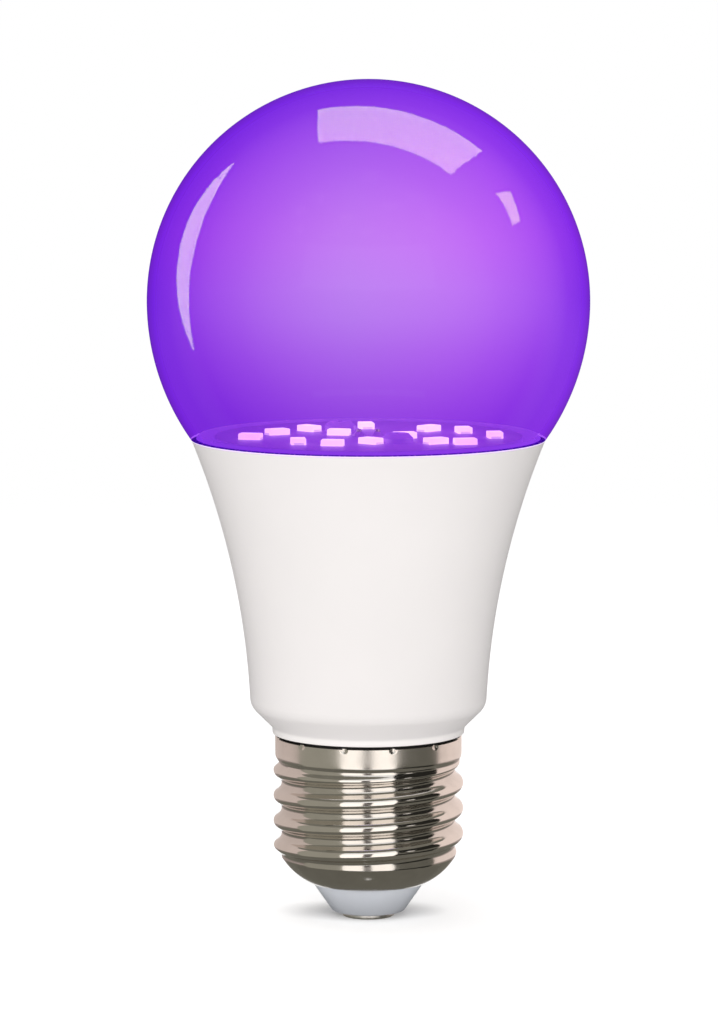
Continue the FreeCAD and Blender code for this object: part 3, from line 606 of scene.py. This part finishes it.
class BULB_OT_screw_shell(BulbOperator, bpy.types.Operator):
    """Rolls the screw shell with its helical thread and punch marks"""

    bl_idname = "bulb.screw_shell"
    bl_label = "Screw shell"

    def execute(self, context):
        settings = context.scene.bulb_shell
        root = THREAD_RADIUS - settings.depth
        thread_z = NOSE_Z + settings.nose_height
        collar_z = CAP_Z - settings.collar_height
        punch_z = CAP_Z - settings.punch_drop
        sector = 2 * math.pi / settings.punches
        mark_margin = 1.15 * settings.punch_radius
        reach = mark_margin / settings.collar_radius
        plain = sector - 2 * reach
        mark_steps = 10
        plain_steps = 18
        turns = []
        for mark in range(settings.punches):
            middle = (mark + 0.5) * sector
            turns += [middle - reach + 2 * reach * step / mark_steps for step in range(mark_steps)]
            turns += [middle + reach + plain * step / plain_steps for step in range(plain_steps)]
        left_crest_z = thread_z + 1.47 * MM

        def wave(turn, level):
            """Height of the thread over its root: arcs for crest and root."""
            rise = (level - left_crest_z) / settings.pitch - (turn - math.pi) / (2 * math.pi)
            part = abs((rise + 0.5) % 1.0 - 0.5) * settings.pitch
            fourth = settings.pitch / 4
            arc = (fourth ** 2 + (settings.depth / 2) ** 2) / settings.depth
            if part < fourth:
                return settings.depth - arc + math.sqrt(arc ** 2 - part ** 2)
            return arc - math.sqrt(arc ** 2 - (2 * fourth - part) ** 2)

        def ease(value, low, high):
            part = min(max((value - low) / (high - low), 0.0), 1.0)
            return part * part * (3 - 2 * part)

        def radius(turn, level):
            """Radius of the sheet, whose thread runs out into the nose and into the plain band."""
            fade = ease(level, thread_z - 0.1 * MM, thread_z + 1.7 * MM)
            fade *= 1 - ease(level, collar_z - 2.3 * MM, collar_z - 0.8 * MM)
            widening = ease(level, collar_z - 2.1 * MM, collar_z - 0.3 * MM)
            base = root + (settings.collar_radius - root) * widening
            reach_out = base + fade * wave(turn, level)
            across = ((turn / sector) % 1.0 - 0.5) * sector * settings.collar_radius
            away = math.hypot(across, level - punch_z) / settings.punch_radius
            dent = settings.punch_depth * (1 - ease(away, 0.15, 1.0))
            return reach_out - dent

        def ring(reaches, level):
            return [(r * math.cos(turn), r * math.sin(turn), level) for r, turn in zip(reaches, turns)]

        def plain_rings(points):
            return [ring([reach_out] * len(turns), level) for reach_out, level in points]

        cone = ((settings.nose_radius, NOSE_Z), (root, thread_z), settings.nose_bulge, 26)
        nose = bowed(*cone)
        roll = (settings.nose_radius - 0.25 * MM, NOSE_Z + 0.2 * MM)
        rings = plain_rings(round_edge(roll, nose[0], nose[1], radius=0.15 * MM, steps=4) + nose[1:])
        low_mark = punch_z - mark_margin
        edge_z = CAP_Z - settings.edge_drop
        for low, high, rows in ((thread_z, low_mark, 86), (low_mark, edge_z, 14)):
            for row in range(1, rows + 1):
                level = low + (high - low) * row / rows
                rings.append(ring([radius(turn, level) for turn in turns], level))
        inside = settings.collar_radius - settings.sheet
        edge = edge_z + 0.12 * MM
        back = [(inside + 0.15 * MM, edge), (inside, edge), (inside, collar_z + 0.7 * MM)]
        back.append((root - settings.sheet, collar_z))
        inner_nose = bowed(*cone, inset=settings.sheet)
        back += [point for point in inner_nose[::-1] if point[0] < root - settings.sheet]
        rings += plain_rings(back)
        piece = skin("screw_shell_plated", rings)
        dress(piece, [plated_sheet(settings)], "plated_shell", "screw_shell")
        return {"FINISHED"}


class BULB_OT_foot(BulbOperator, bpy.types.Operator):
    """Moulds the insulator and turns the centre contact"""

    bl_idname = "bulb.foot"
    bl_label = "Insulator and contact"

    def execute(self, context):
        settings = context.scene.bulb_foot
        self.insulator(settings)
        self.contact(settings)
        return {"FINISHED"}

    def insulator(self, settings):
        hole = settings.shank_radius + FIT
        opening = LEDGE_RADIUS - settings.ledge_width
        foot = (settings.cone_radius, INSULATOR_Z)
        cone_top = (opening, NOSE_Z)
        outline = [(hole, INSULATOR_Z)]
        outline += round_edge((hole, INSULATOR_Z), foot, cone_top, radius=0.3 * MM)
        outline += round_edge(foot, cone_top, (opening, NOSE_Z + MM), radius=0.25 * MM)
        outline += [(opening, NOSE_Z + 0.45 * MM), (LEDGE_RADIUS, LEDGE_Z - 1.5 * MM)]
        outline += [(LEDGE_RADIUS, LEDGE_Z), (hole, LEDGE_Z)]
        finish = Finish("pale_moulding", {
            "IOR": 1.5, "Subsurface Weight": 0.25, "Subsurface Radius": (1.0, 1.0, 1.0),
            "Subsurface Scale": 0.8 * MM, "Coat Weight": 0.25, "Coat Roughness": 0.2,
        })
        clouds = finish.mottled(finish.noise(180.0, detail=3.0), scaled(WHITE, 0.95), WHITE)
        # Painted light and shade: the insulator is made darker towards its foot and lighter towards the shell
        rise = finish.spread(finish.height(), INSULATOR_Z, NOSE_Z - 0.3 * MM)
        painted_height_shade = finish.ramp(rise, (0.0, scaled(settings.pale, 0.78)), (1.0, scaled(settings.pale, 1.14)))
        finish.paint(finish.times(clouds, painted_height_shade))
        grain = finish.noise(4200.0, detail=2.0)
        finish.roughen(finish.drift(grain, 0.3, 0.42))
        finish.emboss(grain, distance=0.01 * MM, strength=0.3)
        piece = turned("base_insulator_pale", outline, sides=128)
        dress(piece, [finish.material], "pale_insulator", "base_insulator")

    def contact(self, settings):
        top = CONTACT_Z + settings.head_height
        head = (CONTACT_RADIUS, CONTACT_Z)
        outline = [(0.0, CONTACT_Z + 0.12 * MM), (1.1 * MM, CONTACT_Z + 0.1 * MM), (1.4 * MM, CONTACT_Z)]
        outline += round_edge((0.0, CONTACT_Z), head, (CONTACT_RADIUS, top), radius=0.42 * MM, steps=8)
        outline += [(CONTACT_RADIUS, top), (settings.shank_radius, top)]
        outline += [(settings.shank_radius, SHANK_Z), (0.0, SHANK_Z)]
        finish = Finish("contact_tin", {"Metallic": 1.0})
        wear = finish.noise(1500.0, detail=3.0)
        finish.paint(finish.mottled(wear, (0.62, 0.61, 0.59), (0.76, 0.75, 0.73)))
        finish.roughen(finish.drift(wear, 0.38, 0.5))
        finish.emboss(finish.noise(5000.0), distance=0.006 * MM, strength=0.5)
        piece = turned("centre_contact_tin", outline, sides=96)
        dress(piece, [finish.material], "contact_metal", "centre_contact")


class BULB_OT_lamps(BulbOperator, bpy.types.Operator):
    """Sets the lit LED packages on their board"""

    bl_idname = "bulb.lamps"
    bl_label = "LED packages"

    def execute(self, context):
        settings = context.scene.bulb_lamp
        if not CHIP_NODES:
            raise RuntimeError("the frame has no LED packages")
        data = self.package(settings)
        for name in CHIP_NODES:
            low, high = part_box(name)
            middle = (low + high) / 2
            piece = bpy.data.objects.new(name + "_lit", data)
            bpy.context.scene.collection.objects.link(piece)
            place = Matrix.Translation((middle.x, middle.y, low.z))
            piece.matrix_world = place @ Matrix.Rotation(long_way(name) - math.pi / 2, 4, "Z")
            dress(piece, [], "led_package", name)
        return {"FINISHED"}

    def package(self, settings):
        """White body with rounded edges, a round cup for the window, and a tinned foot at each end."""
        half_x = settings.chip_width / 2
        half_y = settings.chip_length / 2
        top = settings.chip_height
        edge = 0.1 * MM
        cup_flare = 0.2 * MM
        cup_depth = 0.16 * MM
        mesh = bmesh.new()
        sides = 48
        outline = []
        for x, y, _ in circle(1.0, 0.0, sides):
            stretch = min(half_x / max(abs(x), MERGE), half_y / max(abs(y), MERGE))
            outline.append((x * stretch, y * stretch))
        rings = []
        for shrink, level in ((1.0, 0.0), (1.0, top - edge), (0.96, top)):
            rings.append([(x * shrink, y * shrink, level) for x, y in outline])
        rings.append(circle(settings.window + cup_flare, top, sides))
        rings.append(circle(settings.window, top - cup_depth, sides))
        loops = [[mesh.verts.new(point) for point in ring] for ring in rings]
        for one, other in zip(loops, loops[1:]):
            for side in range(sides):
                after = (side + 1) % sides
                mesh.faces.new((one[side], one[after], other[after], other[side]))
        mesh.faces.new(loops[0][::-1])
        window_slot = 1
        feet_slot = 2
        pole = mesh.verts.new((0.0, 0.0, top - edge))
        for side in range(sides):
            face = mesh.faces.new((loops[-1][side], loops[-1][(side + 1) % sides], pole))
            face.material_index = window_slot
        for end in (-1, 1):
            foot = bmesh.ops.create_cube(mesh, size=1.0)["verts"]
            size = (settings.chip_width * 0.7, 0.12 * MM, 0.3 * MM)
            spot = Matrix.Translation((0.0, end * half_y, size[2] / 2))
            bmesh.ops.transform(mesh, matrix=spot @ Matrix.Diagonal((*size, 1.0)), verts=foot)
            for face in {face for vert in foot for face in vert.link_faces}:
                face.material_index = feet_slot
        piece = finished("led_package", mesh)
        data = piece.data
        bpy.data.objects.remove(piece)
        body = self.lit(settings, "lit_package", 0.8, {"Roughness": 0.4})
        speckle = body.noise(2600.0, detail=2.0)
        body.paint(body.mottled(speckle, (0.82, 0.82, 0.8), (0.9, 0.9, 0.88)))
        window = self.lit(settings, "lit_window", 1.0, {"Roughness": 0.25})
        grains = window.noise(6000.0, detail=2.0)
        window.paint(window.ramp(grains, (0.35, (0.9, 0.72, 0.2)), (0.65, (0.95, 0.84, 0.4))))
        # Painted light: the tinned feet glow with half the packages' strength
        feet = self.lit(settings, "package_feet_painted_glow", 0.5, {"Metallic": 1.0})
        specks = feet.noise(1800.0, detail=3.0)
        feet.paint(feet.mottled(specks, (0.7, 0.69, 0.66), (0.8, 0.79, 0.76)))
        feet.roughen(feet.drift(specks, 0.25, 0.4))
        for finish in (body.material, window.material, feet.material):
            data.materials.append(finish)
        return data

    def lit(self, settings, name, part, inputs):
        """Finish that glows with a part of the packages' strength."""
        finish = Finish(name, inputs)
        strength = settings.glow_strength * part
        finish.fill(finish.shader, {"Emission Color": settings.glow, "Emission Strength": strength})
        return finish


def long_way(name):
    """Direction of the long side of a node's foot, as an angle from the X axis."""
    low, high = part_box(name)
    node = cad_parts[name]
    corners = [node.matrix_world @ vert.co for vert in node.data.vertices]
    corners = [corner - (low + high) / 2 for corner in corners if corner.z < low.z + HAIR]
    across = sum(corner.x ** 2 - corner.y ** 2 for corner in corners)
    skew = sum(2 * corner.x * corner.y for corner in corners)
    return math.atan2(skew, across) / 2


def metal_finish(name, shade, rough):
    """Bare or plated metal with small stains."""
    scale = 1800.0
    finish = Finish(name, {"Metallic": 1.0})
    stain = finish.noise(scale)
    finish.paint(finish.mottled(stain, scaled(shade, 0.8), shade))
    finish.roughen(finish.drift(stain, rough - 0.06, rough + 0.1))
    finish.emboss(finish.noise(scale * 3), distance=0.005 * MM, strength=0.4)
    return finish.material


def plain_finish(name, shade, rough, scale=900.0, contrast=0.8):
    """Plastic, paint or ceramic with a mottled tone and a fine grain."""
    finish = Finish(name, {})
    mottle = finish.noise(scale)
    finish.paint(finish.mottled(mottle, scaled(shade, contrast), shade))
    finish.roughen(finish.drift(mottle, rough - 0.07, rough + 0.08))
    finish.emboss(finish.noise(scale * 6), distance=0.01 * MM, strength=0.4)
    return finish.material


class BULB_OT_lamp_board(BulbOperator, bpy.types.Operator):
    """Finishes the LED board, its screws and pins and the heat sink"""

    bl_idname = "bulb.lamp_board"
    bl_label = "LED board"

    def execute(self, context):
        spill = context.scene.bulb_globe.spill
        # Painted glow: the board, heat sink, screws and solder glow with the spill though they are no lamps
        refinish(lit_coat("board_painted_glow", spill, 0.6, top=0.72), "led_board")
        refinish(lit_coat("sink_painted_glow", spill, 0.6), "heat_sink")
        refinish(lit_coat("screw_painted_glow", spill, 0.6), "board_screws")
        refinish(lit_coat("solder_painted_glow", spill, 0.4), "pin_solder")
        refinish(metal_finish("tinned_pins", (0.7, 0.68, 0.62), rough=0.25), "supply_pins")
        return {"FINISHED"}


class BULB_OT_driver(BulbOperator, bpy.types.Operator):
    """Finishes the driver board and the parts on it"""

    bl_idname = "bulb.driver"
    bl_label = "Driver"

    def execute(self, context):
        laminate = plain_finish("glass_laminate", (0.08, 0.3, 0.12), rough=0.45, scale=700.0, contrast=0.7)
        refinish(laminate, "driver_board")
        sleeve = plain_finish("can_sleeve", (0.03, 0.035, 0.05), rough=0.35)
        refinish(sleeve, "input_capacitor", "output_capacitor")
        ferrite = plain_finish("ferrite_grey", (0.06, 0.06, 0.065), rough=0.6, scale=2500.0)
        refinish(ferrite, "transformer_core")
        refinish(plain_finish("bobbin_black", (0.012, 0.012, 0.012), rough=0.5), "transformer_bobbin")
        refinish(metal_finish("winding_copper", (0.72, 0.32, 0.14), rough=0.35), "transformer_winding")
        tin = metal_finish("lead_tin", (0.7, 0.69, 0.66), rough=0.3)
        refinish(tin, "input_capacitor_leads", "output_capacitor_leads", "fuse_leads", "film_leads")
        refinish(tin, "transformer_pins")
        refinish(plain_finish("film_red", (0.45, 0.06, 0.04), rough=0.35), "film_capacitor")
        refinish(plain_finish("fuse_green", (0.14, 0.3, 0.2), rough=0.4), "fuse_resistor")
        black = plain_finish("package_black", (0.02, 0.02, 0.022), rough=0.45, scale=2500.0)
        refinish(black, "rectifier", "driver_chip", "chip_resistors", "pin_header")
        refinish(plain_finish("live_red", (0.5, 0.03, 0.03), rough=0.4), "live_wire")
        refinish(plain_finish("neutral_white", (0.75, 0.75, 0.71), rough=0.4), "neutral_wire")
        return {"FINISHED"}


# The screens round the bulb: which rays don't see them, and how far off they stand
HIDDEN_FROM = ("camera", "diffuse", "transmission", "volume_scatter", "shadow")
SCREEN_REACH = 0.45


class BULB_OT_stage(BulbOperator, bpy.types.Operator):
    """Sets up the white floor, the soft light and the camera"""

    bl_idname = "bulb.stage"
    bl_label = "Stage"

    def execute(self, context):
        settings = context.scene.bulb_stage
        scene = context.scene
        scene.view_settings.view_transform = "Standard"
        self.camera(scene, settings)
        self.surroundings(scene, settings)
        self.floor(settings)
        self.lights(settings)
        self.screens()
        self.highlights()
        return {"FINISHED"}

    def camera(self, scene, settings):
        data = bpy.data.cameras.new("camera")
        data.lens = settings.lens
        data.sensor_width = 36.0
        data.clip_start = 0.01
        camera = bpy.data.objects.new("camera", data)
        camera.location = settings.camera_place
        camera.rotation_euler = (math.pi / 2 - settings.camera_tilt, 0.0, 0.0)
        scene.collection.objects.link(camera)
        scene.camera = camera

    def surroundings(self, scene, settings):
        """Soft light from all round, which the camera, metal and glass see as white."""
        world = bpy.data.worlds.new("white_room")
        world.use_nodes = True
        scene.world = world
        tree = world.node_tree
        room = tree.nodes["Background"]
        room.inputs["Color"].default_value = (1.0, 0.985, 0.975, 1.0)
        room.inputs["Strength"].default_value = settings.ambient
        seen = tree.nodes.new("ShaderNodeBackground")
        seen.inputs["Color"].default_value = (*WHITE, 1.0)
        rays = tree.nodes.new("ShaderNodeLightPath")
        white_for = rays.outputs["Is Camera Ray"]
        for kind in ("Is Glossy Ray", "Is Transmission Ray"):
            either = tree.nodes.new("ShaderNodeMath")
            either.operation = "MAXIMUM"
            tree.links.new(white_for, either.inputs[0])
            tree.links.new(rays.outputs[kind], either.inputs[1])
            white_for = either.outputs[0]
        mix = tree.nodes.new("ShaderNodeMixShader")
        tree.links.new(white_for, mix.inputs["Fac"])
        tree.links.new(room.outputs[0], mix.inputs[1])
        tree.links.new(seen.outputs[0], mix.inputs[2])
        tree.links.new(mix.outputs[0], tree.nodes["World Output"].inputs["Surface"])

    def floor(self, settings):
        """White floor that fades out far off and glows a little, except in a painted shadow round the bulb's
        foot.
        """
        rows = 24
        rings = [[(0.0, 0.0, 0.0)]]
        for row in range(1, rows + 1):
            rings.append(circle(settings.floor_radius * (row / rows) ** 2, 0.0, sides=96))
        floor = skin("floor", rings, closed=False)
        finish = Finish("floor_white", {
            "Base Color": scaled(WHITE, 0.8), "Roughness": 0.9, "Specular IOR Level": 0.0,
        })
        rays = finish.add("ShaderNodeLightPath")
        seen = finish.maths("MAXIMUM", rays.outputs["Is Camera Ray"], rays.outputs["Is Transmission Ray"])
        # Painted shadow: the glow is cut down in a spot round the bulb's foot, so the floor shows a shadow
        # there
        shadow_middle = (-0.8 * MM, 3.5 * MM, 0.0)
        shadow_shape = (90.0, 135.0, 0.0)
        spot = finish.vectors("SUBTRACT", finish.place, shadow_middle).outputs["Vector"]
        spot = finish.vectors("MULTIPLY", spot, shadow_shape).outputs["Vector"]
        away = finish.vectors("LENGTH", spot).outputs["Value"]
        shadow_glow, open_glow, least_glow = 0.1, 0.48, 0.06
        lift = finish.maths("MULTIPLY", seen, finish.spread(away, 0.45, 1.1, shadow_glow, open_glow))
        lift = finish.maths("MAXIMUM", lift, least_glow)
        finish.fill(finish.shader, {"Emission Color": WHITE, "Emission Strength": lift})
        fade = {
            "Value": finish.reach(),
            "From Min": settings.floor_radius * 0.3,
            "From Max": settings.floor_radius * 0.95,
        }
        edge = finish.add("ShaderNodeMapRange", fade, interpolation_type="SMOOTHSTEP").outputs["Result"]
        clear = finish.add("ShaderNodeBsdfTransparent")
        parts = {"Fac": edge, 1: finish.shader.outputs[0], 2: clear.outputs[0]}
        mix = finish.add("ShaderNodeMixShader", parts)
        finish.fill(finish.output, {"Surface": mix.outputs[0]})
        floor.data.materials.append(finish.material)
        floor.visible_glossy = False

    def lights(self, settings):
        """Soft lamps, each with its place, width, power and colour."""
        soft = (1.0, 0.99, 0.98)
        target = Vector((0.0, 0.0, 0.05))
        lamps = (
            ("key_light", (-0.25, -1.2, 0.6), 0.9, settings.key, (1.0, 0.985, 0.97)),
            ("top_light", (-0.1, 0.1, 1.2), 0.9, settings.top, WHITE),
            ("right_fill", (0.95, 0.05, 0.15), 0.6, 0.6 * settings.fill, soft),
            ("left_fill", (-0.95, 0.1, 0.15), 0.6, 0.66 * settings.fill, soft),
            ("low_light", (0.1, -1.0, 0.06), 0.5, 1.7 * settings.fill, soft),
        )
        for name, place, size, power, shade in lamps:
            data = bpy.data.lights.new(name, "AREA")
            data.size = size
            data.energy = power
            data.color = shade
            lamp = bpy.data.objects.new(name, data)
            lamp.location = place
            lamp.rotation_euler = (target - lamp.location).to_track_quat("-Z", "Y").to_euler()
            for rays in ("camera", "glossy", "transmission"):
                setattr(lamp, "visible_" + rays, False)
            bpy.context.scene.collection.objects.link(lamp)

    def panel(self, name, rings, strength, shade, beam=False):
        """Sheet that only reflections see. A beam lights only what lies near its front."""
        mesh = bmesh.new()
        rows = [[mesh.verts.new(point) for point in ring] for ring in rings]
        for one, other in zip(rows, rows[1:]):
            for index in range(len(one) - 1):
                mesh.faces.new((one[index], one[index + 1], other[index + 1], other[index]))
        sheet = finished(name, mesh)
        finish = Finish(name, {})
        finish.tree.nodes.remove(finish.shader)
        if beam:
            slant = finish.add("ShaderNodeLayerWeight").outputs["Facing"]
            strength = finish.spread(slant, 0.2, 0.5, strength, 0.0)
        light = finish.add("ShaderNodeEmission", {"Color": shade, "Strength": strength})
        finish.fill(finish.output, {"Surface": light.outputs[0]})
        sheet.data.materials.append(finish.material)
        for rays in HIDDEN_FROM:
            setattr(sheet, "visible_" + rays, False)
        return sheet

    def wall(self, name, degrees, levels, strength, shade, reach=SCREEN_REACH):
        """Upright screen round the bulb. Degrees run from the front to the right."""
        first, last = degrees
        steps = 12
        turns = [math.radians(first + (last - first) * step / steps) for step in range(steps + 1)]
        rings = []
        for level in levels:
            rings.append([(reach * math.sin(turn), -reach * math.cos(turn), level) for turn in turns])
        return self.panel(name, rings, strength, shade)

    def screens(self):
        """Bright and dark screens that the plated shell mirrors."""
        warm = (1.0, 0.95, 0.904)
        olive = (1.0, 0.965, 0.81)
        rosy = (1.0, 0.849, 0.791)
        bottom, top = -0.3, 0.36
        post = (-6.5, 4)
        left_side, right_side = (-95, -34.5), (34, 95)
        left_back, right_back = (-170, -95), (95, 170)
        window = (-0.26, 0.16)
        rear, rear_mid, rear_foot = (-0.092, top), (-0.15, -0.092), (bottom, -0.15)
        sheets = [
            self.wall("left_window", (-34.5, -6.5), window, 1.45, warm),
            self.wall("right_window", (4, 34), window, 1.45, warm),
            self.wall("window_post", post, (-0.1, -0.02), 0.3, warm),
            self.wall("post_head", post, (-0.02, 0.16), 0.09, rosy),
            self.wall("post_foot", post, (-0.26, -0.1), 0.09, rosy),
            self.wall("dark_flag_low", right_side, (-0.13, 0.0), 0.14, olive),
            self.wall("dark_flag_high", right_side, (0.0, top), 0.02, olive),
            self.wall("dark_flag_foot", right_side, (bottom, -0.13), 0.02, olive),
            self.wall("small_window", (46, 56), (0.03, 0.09), 1.0, warm, SCREEN_REACH - 0.01),
            self.wall("grey_flag", left_side, (bottom, top), 0.33, olive),
            self.wall("right_rear", right_back, rear, 0.93, rosy),
            self.wall("left_rear", left_back, rear, 0.64, rosy),
            self.wall("right_rear_mid", right_back, rear_mid, 0.4, rosy),
            self.wall("left_rear_mid", left_back, rear_mid, 0.32, rosy),
            self.wall("right_rear_foot", right_back, rear_foot, 0.17, olive),
            self.wall("left_rear_foot", left_back, rear_foot, 0.17, olive),
            self.plate("table_below", bottom, 0.15, olive),
            self.plate("ceiling_above", top, 0.19, olive),
        ]
        group = self.receivers("plated_only", "screw_shell_plated", "centre_contact_tin")
        for sheet in sheets:
            sheet.light_linking.receiver_collection = group

    def plate(self, name, level, strength, shade):
        """Level sheet below or above the bulb."""
        rings = []
        for size in (0.02 * SCREEN_REACH, SCREEN_REACH):
            ring = circle(size, level, sides=48)
            rings.append(ring + ring[:1])
        return self.panel(name, rings, strength, shade)

    def highlights(self):
        """Soft boxes whose reflections lie on the globe.

        Each is given by its start, middle and end: how far out on the globe's disc its outer and inner edge
        show, and how far round from the top, in degrees.
        """
        top = ((0.892, -14.8, 0.747, -17.8), (0.866, 12.0, 0.706, 9.0), (0.85, 37.2, 0.682, 33.0))
        left = ((0.869, -43.6, 0.869, -43.6), (0.887, -72.0, 0.817, -75.0), (0.815, -106.4, 0.815, -106.4))
        small = ((0.807, 51.9, 0.752, 49.8), (0.792, 57.2, 0.747, 56.3), (0.772, 62.4, 0.732, 62.1))
        boxes = (
            ("top_box", top, 43.0, (1.0, 0.92, 0.26)),
            ("left_box", left, 46.0, (1.0, 0.95, 0.33)),
            ("small_box", small, 44.0, (1.0, 0.95, 0.1)),
        )
        group = self.receivers("globe_only", "globe_tinted")
        for name, stops, strength, shade in boxes:
            sheet = self.panel(name, self.mirrored(stops), strength, shade, beam=True)
            sheet.light_linking.receiver_collection = group

    def receivers(self, name, *pieces):
        """Collection of the pieces that a screen lights."""
        group = bpy.data.collections.new(name)
        for piece in pieces:
            group.objects.link(bpy.data.objects[piece])
        return group

    def mirrored(self, stops, steps=24, rows=6, reach=0.025):
        """Rows of points that the globe mirrors to the camera between the outer and the inner edge."""
        centre = Vector((0.0, 0.0, WIDEST_Z))
        camera = Vector(bpy.context.scene.bulb_stage.camera_place)
        view = (camera - centre).normalized()
        right = Vector((0.0, 0.0, 1.0)).cross(view).normalized()
        up = view.cross(right)
        near = GLOBE_RADIUS / (camera - centre).length
        lines = []
        for row in range(rows + 1):
            line = []
            for step in range(steps + 1):
                outer, outer_deg, inner, inner_deg = self.between(stops, step / steps)
                out = outer + (inner - outer) * row / rows
                turn = math.radians(outer_deg + (inner_deg - outer_deg) * row / rows)
                slant = math.asin(out)
                for _ in range(4):
                    slant = math.asin(out * (1 - near * math.cos(slant)))
                normal = view * math.cos(slant)
                normal += (right * math.sin(turn) + up * math.cos(turn)) * math.sin(slant)
                spot = centre + normal * GLOBE_RADIUS
                sight = (camera - spot).normalized()
                line.append(tuple(spot + (2 * normal.dot(sight) * normal - sight) * reach))
            lines.append(line)
        return lines

    def between(self, stops, part):
        """Value on the smooth line through the start, the middle and the end."""
        start, middle, end = stops
        weights = ((1 - part) * (1 - 2 * part), 4 * part * (1 - part), part * (2 * part - 1))
        return [sum(w * v for w, v in zip(weights, values)) for values in zip(start, middle, end)]


OPERATORS = (
    BULB_OT_globe,
    BULB_OT_housing,
    BULB_OT_screw_shell,
    BULB_OT_foot,
    BULB_OT_lamps,
    BULB_OT_lamp_board,
    BULB_OT_driver,
    BULB_OT_stage,
)
SETTINGS = {
    "bulb_globe": GlobeSettings,
    "bulb_housing": HousingSettings,
    "bulb_shell": ShellSettings,
    "bulb_foot": FootSettings,
    "bulb_lamp": LampSettings,
    "bulb_stage": StageSettings,
}


class BULB_PT_pieces(bpy.types.Panel):
    """Lists the bulb's pieces"""

    bl_idname = "BULB_PT_pieces"
    bl_label = "Black light bulb"
    bl_space_type = "VIEW_3D"
    bl_region_type = "UI"
    bl_category = "Bulb"

    def draw(self, context):
        for operator in OPERATORS:
            self.layout.operator(operator.bl_idname)
        for name, group in SETTINGS.items():
            box = self.layout.box()
            for setting in group.__annotations__:
                box.prop(getattr(context.scene, name), setting)


def register():
    for group in SETTINGS.values():
        bpy.utils.register_class(group)
    for name, group in SETTINGS.items():
        setattr(bpy.types.Scene, name, PointerProperty(type=group))
    for operator in OPERATORS:
        bpy.utils.register_class(operator)
    bpy.utils.register_class(BULB_PT_pieces)


def unregister():
    bpy.utils.unregister_class(BULB_PT_pieces)
    for operator in reversed(OPERATORS):
        bpy.utils.unregister_class(operator)
    for name, group in SETTINGS.items():
        delattr(bpy.types.Scene, name)
        bpy.utils.unregister_class(group)


def main():
    register()
    bpy.ops.bulb.globe()
    bpy.ops.bulb.housing()
    bpy.ops.bulb.screw_shell()
    bpy.ops.bulb.foot()
    bpy.ops.bulb.lamps()
    bpy.ops.bulb.lamp_board()
    bpy.ops.bulb.driver()
    bpy.ops.bulb.stage()
    bpy.context.view_layer.update()


if __name__ == "__main__":
    main()
